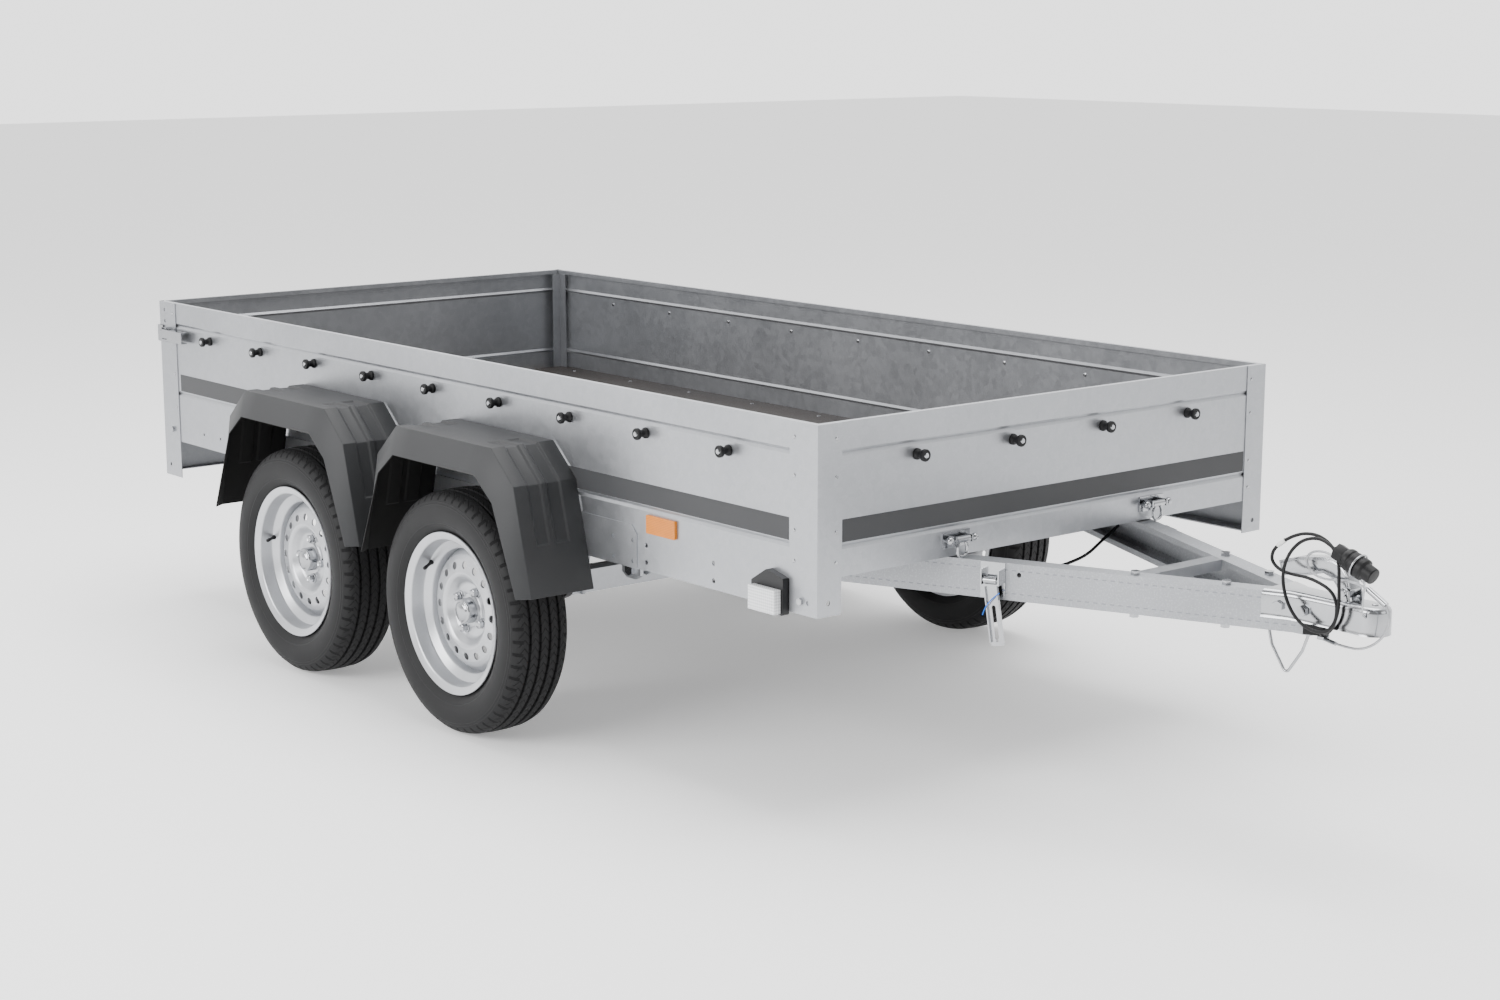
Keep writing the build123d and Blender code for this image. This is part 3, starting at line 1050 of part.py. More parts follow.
def lanyard_route():
    """Thin cord tied across the right-hand toggle lever, in a left bar's frame."""
    y = TOGGLE_STANDOFF + 9.5
    x = LOCK_AHEAD
    return [(x + 22, y - 1, TOGGLE_PIN_Z - 22), (x + 11, y + 1, TOGGLE_PIN_Z - 31),
            (x, y + 1.5, TOGGLE_PIN_Z - 44), (x - 8, y + 1, TOGGLE_PIN_Z - 56),
            (x - 13, y - 2, TOGGLE_PIN_Z - 70)]


# ---- build ----
print(f"overall {OVERALL:.0f} mm, rear edge x {REAR_X:.0f}, front panel x {FRONT_X:.0f}")
save_pair(side_panel(), "side_panel")
save(front_panel(), "front_panel")
save_pair(front_post(), "front_post")
save_pair(rear_post(), "rear_post")
save(floor_board(), "floor_board")
save_pair(side_rail(), "side_rail")
CROSS_START = REAR_X + CROSS_FIRST
CROSS_RUN = PIVOT_X - CROSS_LAST - CROSS_START
save([cross_member(CROSS_START + share * CROSS_RUN) for share in CROSS_SHARES], "cross_members")
save(light_board(), "light_board")
save_pair([mudguard(x) for x in AXLES.values()], "mudguards")
save(both(guard_plate()) + both(pivot_lug()), "guard_plates")
save([axle_tube(x) for x in AXLES.values()], "axle_tubes")
save([knob(place, direction) for place, direction in knob_places()], "tarp_knobs")
save(chassis_fasteners(), "chassis_fasteners")
save(reflectors(), "side_reflectors")
REAR_LAMP, REAR_LENS = rear_lamp()
save(both(front_lamp_housing()) + both(REAR_LAMP), "lamp_housings")
save(both(front_lens()), "front_lenses")
save(both(REAR_LENS), "rear_lenses")
save(both(ring_bracket()), "ring_brackets")
save(both(gate_hinge()) + both(latch_base()), "gate_fittings")
for axle, wheel_x in AXLES.items():
    save_pair(swing_arm(wheel_x), f"{axle}_swing_arm")
    save_pair(tyre(wheel_x), f"{axle}_tyre")
    save_pair(rim(wheel_x), f"{axle}_rim")
save(tailgate(), "tailgate")
save(both(gate_strap()), "gate_straps")
save_pair(latch_lever(), "latch_lever")
save_pair(latch_link(), "latch_link")
save_pair(bar(), "drawbar")
save(cross_tie(), "cross_tie")
save(drawbar_bolts() + both(on_bar(toggle_base())), "drawbar_fittings")
save_pair(on_bar(toggle_lever()), "toggle_lever")
save_pair(locking_ring(), "locking_ring")
save(coupling_head(), "coupling_head")
save(coupling_handle(), "coupling_handle")
save(support_strip(), "support_strip")
save(cord(CABLE_ROUTE, CABLE_DIAMETER, "electric cable"), "electric_cable")
save(plug(), "plug")
save([holder()] + rope_ferrules(), "cord_fittings")
save(grommet(), "cable_grommet")
save(cord(ROPE_ROUTE, ROPE_DIAMETER, "safety rope"), "safety_rope")
save(cord(wiring_route(), WIRING_DIAMETER, "wiring lead"), "wiring_lead")
save(right(on_bar(cord(lanyard_route(), LANYARD_DIAMETER, "lanyard"))), "lanyard")
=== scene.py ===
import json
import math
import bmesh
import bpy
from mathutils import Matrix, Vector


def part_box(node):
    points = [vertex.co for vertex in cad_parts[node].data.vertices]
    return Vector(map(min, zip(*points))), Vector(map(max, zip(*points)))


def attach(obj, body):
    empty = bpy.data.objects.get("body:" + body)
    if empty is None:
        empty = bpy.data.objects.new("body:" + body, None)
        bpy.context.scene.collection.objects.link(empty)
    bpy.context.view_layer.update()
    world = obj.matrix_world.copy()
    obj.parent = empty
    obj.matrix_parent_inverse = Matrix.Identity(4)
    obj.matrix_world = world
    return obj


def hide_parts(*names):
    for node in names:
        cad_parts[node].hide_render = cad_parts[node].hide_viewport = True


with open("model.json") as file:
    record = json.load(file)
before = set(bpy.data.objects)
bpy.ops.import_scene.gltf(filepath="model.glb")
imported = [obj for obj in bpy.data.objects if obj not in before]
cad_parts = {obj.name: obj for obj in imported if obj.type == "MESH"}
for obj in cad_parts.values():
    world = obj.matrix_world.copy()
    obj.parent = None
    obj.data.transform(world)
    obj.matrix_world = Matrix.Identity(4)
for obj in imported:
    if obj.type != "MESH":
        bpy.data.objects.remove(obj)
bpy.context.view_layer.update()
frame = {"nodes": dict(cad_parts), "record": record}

# %% [markdown]
# # A twin-axle box trailer
# The trailer's sheet metal and frame come from the CAD model, which sits in the scene already, in
# metres, with +X towards the coupling, +Y to the left and +Z up. This lesson adds the camera and
# the light, the cords, the turned, moulded and pressed pieces that need soft shapes, and a finish
# for every surface.

nodes = frame["nodes"]

# %% [markdown]
# ## Camera
# A long lens stands ahead of the right-hand front corner, a little above the box, and looks back
# and down. A long lens keeps the far wheel nearly as large as the near one, as in a catalogue
# picture.

# %% Camera
camera_data = bpy.data.cameras.new("camera")
camera_data.lens = 60.15
camera_data.sensor_width = 36.0
camera = bpy.data.objects.new("camera", camera_data)
camera.location = (4.441, -3.732, 1.576)
camera.rotation_euler = (math.pi / 2 - 0.1927, 0, 0.8783)
bpy.context.collection.objects.link(camera)
bpy.context.scene.camera = camera
print("camera", tuple(round(value, 3) for value in camera.location))

# %% [markdown]
# ## Floor and light
# Zinc sheet is half a mirror, so it shows the room more than its own colour. Large soft panels give
# it broad, quiet gradients, and a pale floor lifts the underside. One panel stands on the right,
# for the long side, a weaker one ahead, for the front, and one hangs above for the bright rims of
# the box.

# %% Floor
bpy.ops.object.select_all(action="DESELECT")
bpy.ops.mesh.primitive_plane_add(size=60)
floor = bpy.context.object
floor.name = "floor"
paper = bpy.data.materials.new("floor_paper")
paper.use_nodes = True
paper_shader = paper.node_tree.nodes["Principled BSDF"]
paper_shader.inputs["Base Color"].default_value = (0.90, 0.90, 0.90, 1)
paper_shader.inputs["Roughness"].default_value = 0.9
paper_shader.inputs["Emission Color"].default_value = (1, 1, 1, 1)
paper_shader.inputs["Emission Strength"].default_value = 0.32
floor.data.materials.append(paper)


# %% Light panels
def light_panel(name, place, target, width, height, power):
    """A soft rectangular lamp that faces a target."""
    data = bpy.data.lights.new(name, "AREA")
    data.shape = "RECTANGLE"
    data.size, data.size_y, data.energy = width, height, power
    lamp = bpy.data.objects.new(name, data)
    lamp.location = place
    lamp.rotation_euler = (Vector(target) - Vector(place)).to_track_quat("-Z", "Y").to_euler()
    bpy.context.collection.objects.link(lamp)
    return lamp


MIDDLE = (0, 0, 0.5)
light_panel("side_light", (-0.5, -6.5, 3.2), MIDDLE, 6, 3, 520)
light_panel("front_light", (7.0, 1.5, 2.6), MIDDLE, 3, 3, 60)
light_panel("top_light", (0, 0.5, 6.0), MIDDLE, 6, 4, 400)

# %% [markdown]
# A room that is white all round would wash out the zinc. This one is white behind the trailer, as a
# paper roll is, and greyer towards the front, so the front panel and the curved parts pick up a
# soft gradient.

# %% Room
world = bpy.data.worlds.new("room")
bpy.context.scene.world = world
world.use_nodes = True
room = world.node_tree
direction = room.nodes.new("ShaderNodeTexCoord")
towards_back = room.nodes.new("ShaderNodeVectorMath")
towards_back.operation = "DOT_PRODUCT"
towards_back.inputs[1].default_value = (-0.77, 0.64, 0.15)
brightness = room.nodes.new("ShaderNodeMapRange")
brightness.interpolation_type = "SMOOTHSTEP"
for label, value in (("From Min", -0.45), ("From Max", 0.70), ("To Min", 0.42), ("To Max", 2.3)):
    brightness.inputs[label].default_value = value
room.nodes["Background"].inputs["Color"].default_value = (1, 1, 1, 1)
room.links.new(direction.outputs["Generated"], towards_back.inputs[0])
room.links.new(towards_back.outputs["Value"], brightness.inputs["Value"])
room.links.new(brightness.outputs["Result"], room.nodes["Background"].inputs["Strength"])
print("room nodes", len(room.nodes))

# %% [markdown]
# ## Cords
# Four cords hang on the drawbar: the electric cable, which leaves the rubber outlet at the tip,
# goes twice round the handle and ends in its plug; a steel safety rope in a loop round the
# coupling; a thin blue cord tied across the right-hand lock; and a lead between the bars, which the
# CAD model has. A cable is one smooth curve, so it is a NURBS spline whose control points are the
# route. The spline's order is set after its points are added, because before that it would stay at
# straight runs.

# %% Routes, in metres
CABLE = [(1.637, -0.020, 0.439), (1.657, -0.033, 0.445), (1.675, -0.041, 0.464), (1.682, -0.042, 0.489),
         (1.680, -0.043, 0.513), (1.667, -0.044, 0.531), (1.643, -0.046, 0.541), (1.614, -0.047, 0.547),
         (1.581, -0.047, 0.546), (1.551, -0.048, 0.550), (1.533, -0.050, 0.565), (1.537, -0.052, 0.585),
         (1.555, -0.053, 0.603), (1.580, -0.053, 0.619), (1.608, -0.052, 0.630), (1.635, -0.047, 0.630),
         (1.659, -0.045, 0.620), (1.675, -0.043, 0.602), (1.683, -0.043, 0.578), (1.686, -0.046, 0.546),
         (1.690, -0.048, 0.517), (1.690, -0.051, 0.492), (1.682, -0.052, 0.467), (1.665, -0.054, 0.451),
         (1.638, -0.056, 0.450), (1.610, -0.058, 0.461), (1.588, -0.059, 0.483), (1.574, -0.060, 0.512),
         (1.569, -0.061, 0.543), (1.575, -0.062, 0.573), (1.592, -0.064, 0.600), (1.616, -0.066, 0.620),
         (1.644, -0.068, 0.629), (1.670, -0.070, 0.628), (1.692, -0.071, 0.616)]
ROPE = [(1.635, -0.012, 0.427), (1.667, -0.022, 0.426), (1.696, -0.030, 0.427), (1.727, -0.036, 0.429),
        (1.756, -0.038, 0.440), (1.779, -0.038, 0.459), (1.792, -0.038, 0.481), (1.795, -0.038, 0.503),
        (1.786, -0.038, 0.523), (1.767, -0.038, 0.538), (1.744, -0.037, 0.546), (1.722, -0.036, 0.551),
        (1.696, -0.033, 0.552), (1.667, -0.030, 0.548), (1.639, -0.028, 0.545), (1.615, -0.027, 0.549),
        (1.599, -0.026, 0.561), (1.595, -0.026, 0.577), (1.605, -0.026, 0.590), (1.626, -0.026, 0.596),
        (1.650, -0.027, 0.594), (1.676, -0.028, 0.586), (1.700, -0.031, 0.575), (1.720, -0.035, 0.563),
        (1.738, -0.040, 0.556)]
LANYARD = [(1.0450, -0.2757, 0.448), (1.0357, -0.2818, 0.439), (1.0258, -0.2866, 0.426),
           (1.0182, -0.2893, 0.414), (1.0124, -0.2885, 0.400)]


# %% One cord as a round spline
def spline_cord(name, route, diameter):
    """A smooth round cord along a route."""
    data = bpy.data.curves.new(name, "CURVE")
    data.dimensions = "3D"
    spline = data.splines.new("NURBS")
    spline.points.add(len(route) - 1)
    for point, place in zip(spline.points, route):
        point.co = (*place, 1)
    spline.order_u = 3
    spline.use_endpoint_u = True
    data.resolution_u = 8
    data.bevel_depth = diameter / 2
    data.bevel_resolution = 4
    data.use_fill_caps = diameter > 0
    cord = bpy.data.objects.new(name, data)
    bpy.context.collection.objects.link(cord)
    return cord


cable = spline_cord("cable", CABLE, 0.0065)
lanyard = spline_cord("blue_lanyard", LANYARD, 0.002)
print("cords", cable.name, lanyard.name)

# %% [markdown]
# The safety rope is steel wire, laid from six strands. Its line is read from the same kind of
# spline with no thickness, and each strand winds round that line once in about 30 mm.


# %% The rope's line
def line_points(name, route):
    """Points along a route's spline, which is then removed."""
    guide = spline_cord(name, route, 0)
    mesh = bpy.data.meshes.new_from_object(guide)
    points = [vertex.co.copy() for vertex in mesh.vertices]
    bpy.data.meshes.remove(mesh)
    bpy.data.objects.remove(guide)
    return points


rope_line = line_points("rope_guide", ROPE)
ROPE_LENGTH = sum((b - a).length for a, b in zip(rope_line, rope_line[1:]))
print("rope line", len(rope_line), "points,", round(ROPE_LENGTH, 3), "m")


# %% Strands
def laid_rope(name, line, diameter, strands, pitch):
    """Strands that wind round a line, made one mesh."""
    data = bpy.data.curves.new(name, "CURVE")
    data.dimensions = "3D"
    strand_radius = diameter * 0.21
    winding = diameter / 2 - strand_radius
    for index in range(strands):
        spline = data.splines.new("POLY")
        spline.points.add(len(line) - 1)
        run = 0.0
        side = (line[1] - line[0]).orthogonal().normalized()
        for number, place in enumerate(line):
            before, after = line[max(number - 1, 0)], line[min(number + 1, len(line) - 1)]
            ahead = (after - before).normalized()
            side = (side - ahead * side.dot(ahead)).normalized()
            run += (place - before).length
            angle = math.tau * (index / strands + run / pitch)
            out = side * math.cos(angle) + ahead.cross(side) * math.sin(angle)
            spline.points[number].co = (*(place + out * winding), 1)
    data.bevel_depth = strand_radius
    data.bevel_resolution = 1
    data.use_fill_caps = True
    rope = bpy.data.objects.new(name, data)
    bpy.context.collection.objects.link(rope)
    bpy.ops.object.select_all(action="DESELECT")
    bpy.context.view_layer.objects.active = rope
    rope.select_set(True)
    bpy.ops.object.convert(target="MESH")
    return bpy.context.object


rope = laid_rope("wire_rope", rope_line, 0.005, 6, 0.030)
print("rope faces", len(rope.data.polygons))

# %% [markdown]
# ## Making shapes
# Most new pieces start as a line: one vertex is extruded from point to point, as by hand. A line
# turned about an axis makes a tyre, a rim or a button; a closed outline pushed along its normal
# makes a plate or a housing. Modifiers finish a piece and are applied, and the piece's place ends
# up in its mesh, with the object itself at the origin, so that patterns in its finish stay where
# they are.


# %% Selecting and settling
def edit():
    bpy.ops.object.mode_set(mode="EDIT")


def leave():
    bpy.ops.object.mode_set(mode="OBJECT")


def clear():
    """Object mode with nothing selected."""
    if bpy.context.object and bpy.context.object.mode != "OBJECT":
        leave()
    bpy.ops.object.select_all(action="DESELECT")


def choose(piece):
    """Select one object only, in object mode."""
    clear()
    bpy.context.view_layer.objects.active = piece
    piece.select_set(True)


def settle(name):
    """Name the newest piece and move its place into its mesh."""
    piece = bpy.context.object
    piece.name = piece.data.name = name
    bpy.ops.object.transform_apply(location=True, rotation=True, scale=True)
    return piece


# %% Drawing a line or an outline
def draw(name, points, outline=False):
    """One vertex extruded through the points; an outline is closed with a face."""
    clear()
    bpy.ops.mesh.primitive_plane_add(size=0.001, location=points[0])
    line = settle(name)
    edit()
    bpy.ops.mesh.select_mode(type="VERT")
    bpy.ops.mesh.select_all(action="SELECT")
    bpy.ops.mesh.merge(type="CENTER")
    for here, there in zip(points, points[1:]):
        step = Vector(there) - Vector(here)
        bpy.ops.mesh.extrude_vertices_move(TRANSFORM_OT_translate={"value": step})
    if outline:
        bpy.ops.mesh.select_all(action="SELECT")
        bpy.ops.mesh.edge_face_add()
    return line


# %% Picking faces or edges by place
def pick(kind, test):
    """In edit mode, select faces by middle and normal, or edges by middle and run."""
    mesh = bmesh.from_edit_mesh(bpy.context.object.data)
    bpy.ops.mesh.select_mode(type=kind)
    bpy.ops.mesh.select_all(action="DESELECT")
    if kind == "FACE":
        for face in mesh.faces:
            face.select_set(test(face.calc_center_median(), face.normal))
    else:
        for edge in mesh.edges:
            start, end = edge.verts[0].co, edge.verts[1].co
            edge.select_set(test((start + end) / 2, (end - start).normalized()))
    bmesh.update_edit_mesh(bpy.context.object.data)


# %% Turning, pushing and finishing
def tidy_mesh():
    """In edit mode, merge doubles and point the faces outwards."""
    bpy.ops.mesh.select_all(action="SELECT")
    bpy.ops.mesh.remove_doubles(threshold=0.00001)
    bpy.ops.mesh.normals_make_consistent(inside=False)
    leave()


def turn(name, profile, steps, axis, rounding):
    """A profile turned about an axis through the origin."""
    piece = draw(name, profile)
    bpy.ops.mesh.select_all(action="SELECT")
    if rounding:
        bpy.ops.mesh.bevel(offset=rounding, segments=3, affect="VERTICES")
        bpy.ops.mesh.select_all(action="SELECT")
    bpy.ops.mesh.spin(steps=steps, angle=math.tau, center=(0, 0, 0), axis=axis)
    tidy_mesh()
    return piece


def turn_across(name, pairs, steps, rounding=0.0):
    """Pairs of y and radius turned about the y axis, as a wheel is."""
    return turn(name, [(0, y, radius) for y, radius in pairs], steps, (0, 1, 0), rounding)


def turn_up(name, pairs, steps, rounding=0.0):
    """Pairs of radius and height turned about the z axis, as a button is."""
    return turn(name, [(radius, 0, z) for radius, z in pairs], steps, (0, 0, 1), rounding)


def push(name, outline, run):
    """An outline pushed along a run to make a solid."""
    piece = draw(name, outline, outline=True)
    bpy.ops.mesh.select_all(action="SELECT")
    bpy.ops.mesh.extrude_region_move(TRANSFORM_OT_translate={"value": run})
    tidy_mesh()
    return piece


def modify(piece, kind, **settings):
    """Add one modifier and apply it."""
    choose(piece)
    modifier = piece.modifiers.new(kind.lower(), kind)
    for key, value in settings.items():
        setattr(modifier, key, value)
    bpy.ops.object.modifier_apply(modifier=modifier.name)


def bevel(piece, width, segments=2, angle=35):
    """Round the edges that are sharper than an angle."""
    modify(piece, "BEVEL", width=width, segments=segments, limit_method="ANGLE",
           angle_limit=math.radians(angle))


def soften(piece, width, segments=2, angle=35):
    """Round the sharp edges, then shade smooth."""
    bevel(piece, width, segments, angle)
    smooth(piece)


def smooth(piece, angle=40):
    choose(piece)
    bpy.ops.object.shade_smooth_by_angle(angle=math.radians(angle))


def cut(piece, cutter):
    """Take one closed shape out of another."""
    modify(piece, "BOOLEAN", operation="DIFFERENCE", solver="EXACT", object=cutter)
    drop(cutter)


def join(name, pieces):
    """Several meshes made one."""
    choose(pieces[0])
    for piece in pieces:
        piece.select_set(True)
    if len(pieces) > 1:
        bpy.ops.object.join()
    pieces[0].name = pieces[0].data.name = name
    return pieces[0]


def twin(piece, name, place):
    """A copy with its own mesh, moved by a matrix."""
    copy = bpy.data.objects.new(name, piece.data.copy())
    copy.data.name = name
    copy.data.transform(place)
    bpy.context.collection.objects.link(copy)
    return copy


def facing(direction):
    """The turn that brings +Z to a direction."""
    return Vector(direction).to_track_quat("Z", "Y").to_matrix().to_4x4()


def drop(*pieces):
    """Remove the originals once their copies are made."""
    for piece in pieces:
        bpy.data.objects.remove(piece)


def scatter(name, source, spots):
    """One mesh with a copy of a shape at each spot, in place of the shape."""
    copies = [twin(source, f"{source.name}_{number}", spot) for number, spot in enumerate(spots)]
    drop(source)
    return join(name, copies)


# %% [markdown]
# ## Wheels
# A wheel is a tyre, a pressed rim with its disc, four bolts with a centre cap, and a valve. Each is
# turned once about the origin with its outer side towards +Y, then copied to four places.
# Right-hand wheels are the same wheel turned half round. The tread's grooves are real; its fine
# cuts are left to the finish.

# %% Tyre
TYRE = 0.2735
HALF_TREAD = [(0.0595, 0.1825), (0.0625, 0.1880), (0.0705, 0.1960), (0.0755, 0.2080), (0.0775, 0.2235),
              (0.0762, 0.2380), (0.0725, 0.2500), (0.0665, 0.2600), (0.0580, 0.2672), (0.0480, 0.2705)]
tread = list(HALF_TREAD)
for groove in (0.0375, 0.0125, -0.0125, -0.0375):
    crown = TYRE - 1.25 * (groove * groove - 0.0125 * 0.0125)
    tread += [(groove + 0.0040, crown), (groove + 0.0031, crown - 0.0062),
              (groove - 0.0031, crown - 0.0062), (groove - 0.0040, crown)]
tread += [(-y, radius) for y, radius in reversed(HALF_TREAD)]
inner_wall = [(-0.048, 0.1700), (-0.046, 0.1950), (-0.062, 0.2200), (-0.040, 0.2550),
              (0.040, 0.2550), (0.062, 0.2200), (0.046, 0.1950), (0.048, 0.1700), (0.0595, 0.1825)]
tyre = turn_across("tyre", tread + inner_wall, 112)
smooth(tyre, 38)
print("tyre faces", len(tyre.data.polygons))

# %% Rim and disc
BARREL = [(-0.0635, 0.1825), (-0.0622, 0.1785), (-0.0585, 0.1665), (-0.0340, 0.1635), (-0.0280, 0.1615),
          (-0.0190, 0.1425), (0.0190, 0.1425), (0.0280, 0.1615), (0.0340, 0.1635), (0.0585, 0.1665),
          (0.0622, 0.1785), (0.0635, 0.1825)]
DISC = [(0.0055, 0.0290), (0.0100, 0.0305), (0.0100, 0.0345), (0.0055, 0.0370), (0.0050, 0.0590),
        (0.0085, 0.0650), (0.0235, 0.0770), (0.0275, 0.0850), (0.0255, 0.0915), (0.0215, 0.1150),
        (0.0165, 0.1260), (0.0050, 0.1350), (-0.0020, 0.1420)]
barrel = turn_across("barrel", BARREL, 96, 0.0016)
modify(barrel, "SOLIDIFY", thickness=0.0028, offset=1)
disc = turn_across("disc", DISC, 96, 0.0025)
modify(disc, "SOLIDIFY", thickness=0.0032, offset=-1)
print("rim faces", len(barrel.data.polygons) + len(disc.data.polygons))

# %% [markdown]
# The disc has a ring of sixteen round vents. One cylinder is copied round the ring and all sixteen
# are cut out in one Boolean, which keeps the vents truly round on the sloping face.

# %% Vents
VENTS = 16
clear()
bpy.ops.mesh.primitive_cylinder_add(vertices=24, radius=0.0088, depth=0.06, location=(0.1035, 0.018, 0),
                                    rotation=(math.pi / 2, 0, 0))
vent = settle("vent")
cut(disc, scatter("vents", vent, [Matrix.Rotation(math.tau * index / VENTS, 4, "Y")
                                  for index in range(VENTS)]))
rim = join("rim", [barrel, disc])
smooth(rim, 35)
print("rim with vents", len(rim.data.polygons), "faces")

# %% Hub behind the disc
hub = turn_across("hub", [
    (-0.0980, 0), (-0.0980, 0.0300), (-0.0900, 0.0320), (-0.0100, 0.0340), (-0.0060, 0.0640),
    (0.0015, 0.0640), (0.0015, 0)], 32, 0.0015)
smooth(hub)

# %% [markdown]
# Each bolt is a hexagon head with a round cone seat. The head is a six-sided cylinder whose top is
# inset and whose edges are bevelled; the centre cap is a low pressed dome with a step near its
# edge.

# %% Bolts and cap
clear()
bpy.ops.mesh.primitive_cylinder_add(vertices=6, radius=0.0098, depth=0.012, location=(0, 0, 0.010))
head = settle("bolt_head")
edit()
pick("FACE", lambda place, normal: normal.z > 0.9)
bpy.ops.mesh.inset(thickness=0.0022, depth=0.0012)
bpy.ops.mesh.inset(thickness=0.0016, depth=-0.0022)
leave()
seat = turn_up("bolt_seat", [(0, 0), (0.0130, 0), (0.0118, 0.0042), (0, 0.0042)], 24, 0.0008)
bolt = join("bolt", [head, seat])
soften(bolt, 0.0007, 2)
BOLT_RING, BOLT_SEAT_Y = 0.050, 0.0045
angles = [math.radians(28 + 90 * index) for index in range(4)]
bolts = scatter("bolts", bolt, [
    Matrix.Translation((BOLT_RING * math.cos(angle), BOLT_SEAT_Y, BOLT_RING * math.sin(angle)))
    @ facing((0, 1, 0)) for angle in angles])
cap = turn_across("cap", [
    (0.0040, 0.0287), (0.0290, 0.0280), (0.0330, 0.0262), (0.0335, 0.0225), (0.0372, 0.0190),
    (0.0395, 0.0090), (0.0400, 0)], 48, 0.0011)
smooth(cap)
bright_parts = join("wheel_bolts", [bolts, cap])
print("bolts and cap", len(bright_parts.data.polygons), "faces")

# %% Valve
valve = turn_up("valve", [
    (0, 0), (0.0060, 0), (0.0058, 0.0060), (0.0038, 0.0110), (0.0034, 0.0260), (0.0042, 0.0265),
    (0.0042, 0.0345), (0.0034, 0.0365), (0, 0.0365)], 20, 0.0006)
smooth(valve)
VALVE_OUT = Vector((0.815, 0, 0.58))
valve.data.transform(Matrix.Translation(VALVE_OUT * 0.157 + Vector((0, 0.024, 0)))
                     @ facing(Vector((0, 1, 0)) - VALVE_OUT * 0.55))

# %% Four wheels
WHEEL_Y = 0.749
AXLE_X = {"front": -0.113, "rear": -0.805}
TURNED = {"front": 0.0, "rear": 0.42}
SIDES = {"left": 1, "right": -1}


def on_side(x, y, z, sign):
    """A place on the left, or the same place turned half round for the right."""
    half_turn = Matrix.Rotation(math.pi if sign < 0 else 0, 4, "Z")
    return Matrix.Translation((x, sign * y, z)) @ half_turn


WHEELS = {}
for axle, wheel_x in AXLE_X.items():
    for side, sign in SIDES.items():
        place = on_side(wheel_x, WHEEL_Y, TYRE, sign) @ Matrix.Rotation(TURNED[axle], 4, "Y")
        parts = {}
        for source in (tyre, rim, hub, bright_parts, valve):
            piece = twin(source, f"{axle}_{source.name}_{side}", place)
            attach(piece, f"{axle}_wheel_{side}")
            parts[source.name] = piece
        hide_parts(f"{axle}_tyre_{side}")
        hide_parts(f"{axle}_rim_{side}")
        WHEELS[axle, side] = parts
drop(tyre, rim, hub, bright_parts, valve)
print("wheels", len(WHEELS))

# %% [markdown]
# ## Mudguards
# Each wheel has its own moulded mudguard: a flat top and sloping faces that bend down to upright
# ends, a skirt that flares out on the outer side, and two shallow channels that run over the top
# and down to the ends. It is one sheet, so its path is drawn once in side view, extruded from
# station to station across the wheel, and bridged to a wider mouth line. The channels are faces
# picked by place, inset and pushed in. Solidify gives the wall, and a last bevel makes the edges
# soft, as moulded plastic has them.

# %% Path and stations
GUARD_PATH = [(-0.330, 0.366), (-0.270, 0.597), (-0.188, 0.670),
              (0.188, 0.670), (0.270, 0.597), (0.330, 0.366)]
MOUTH_PATH = [(-0.310, 0.366), (-0.227, 0.560), (-0.162, 0.610),
              (0.162, 0.610), (0.227, 0.560), (0.310, 0.366)]
STATIONS = [0.6600, 0.7010, 0.7390, 0.7515, 0.7875, 0.8220]
CHANNELS = ((0.7010, 0.7390), (0.7515, 0.7875))
MOUTH_Y = 0.850

guard = draw("guard", [(x, STATIONS[0], z) for x, z in GUARD_PATH])
for here, there in zip(STATIONS, STATIONS[1:]):
    pick("EDGE", lambda place, run, here=here: abs(place.y - here) < 1e-5 and abs(run.y) < 0.5)
    bpy.ops.mesh.extrude_region_move(TRANSFORM_OT_translate={"value": (0, there - here, 0)})
leave()
mouth = draw("mouth", [(x, MOUTH_Y, z) for x, z in MOUTH_PATH])
leave()
guard = join("guard", [guard, mouth])
edit()
pick("EDGE", lambda place, run: abs(run.y) < 0.5 and place.y > STATIONS[-1] - 1e-5)
bpy.ops.mesh.bridge_edge_loops()
print("guard sheet", len(bmesh.from_edit_mesh(guard.data).faces), "faces")

# %% Channels
CHANNEL_START, CHANNEL_FOOT = 0.120, 0.470
for place, normal in (((-CHANNEL_START, 0, 0), (1, 0, 0)), ((CHANNEL_START, 0, 0), (1, 0, 0)),
                      ((0, 0, CHANNEL_FOOT), (0, 0, 1))):
    bpy.ops.mesh.select_all(action="SELECT")
    bpy.ops.mesh.bisect(plane_co=place, plane_no=normal)
tidy_mesh()
edit()
for side in (-1, 1):
    for low, high in CHANNELS:
        pick("FACE", lambda place, normal, side=side, low=low, high=high:
             low < place.y < high and place.x * side > CHANNEL_START and place.z > CHANNEL_FOOT)
        bpy.ops.mesh.inset(thickness=0.0045, depth=-0.0040)
leave()
modify(guard, "SOLIDIFY", thickness=0.0032, offset=-1)
bevel(guard, 0.0040, 3, 22)
smooth(guard, 35)
print("guard with channels", len(guard.data.polygons), "faces")

# %% Four mudguards
GUARDS = {}
for side, sign in SIDES.items():
    for axle, wheel_x in AXLE_X.items():
        piece = twin(guard, f"{axle}_mudguard_{side}", on_side(wheel_x, 0, 0, sign))
        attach(piece, "chassis")
        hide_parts(f"mudguards_{side}")
        GUARDS[axle, side] = piece
drop(guard)
print("mudguards", len(GUARDS))

# %% [markdown]
# ## Tarp buttons
# A cover's elastic hooks over black plastic buttons: a foot, a waist and a flat head with a rounded
# rim, held by a bright screw in a recess. Button and screw are turned once and copied to the
# twenty-two places.

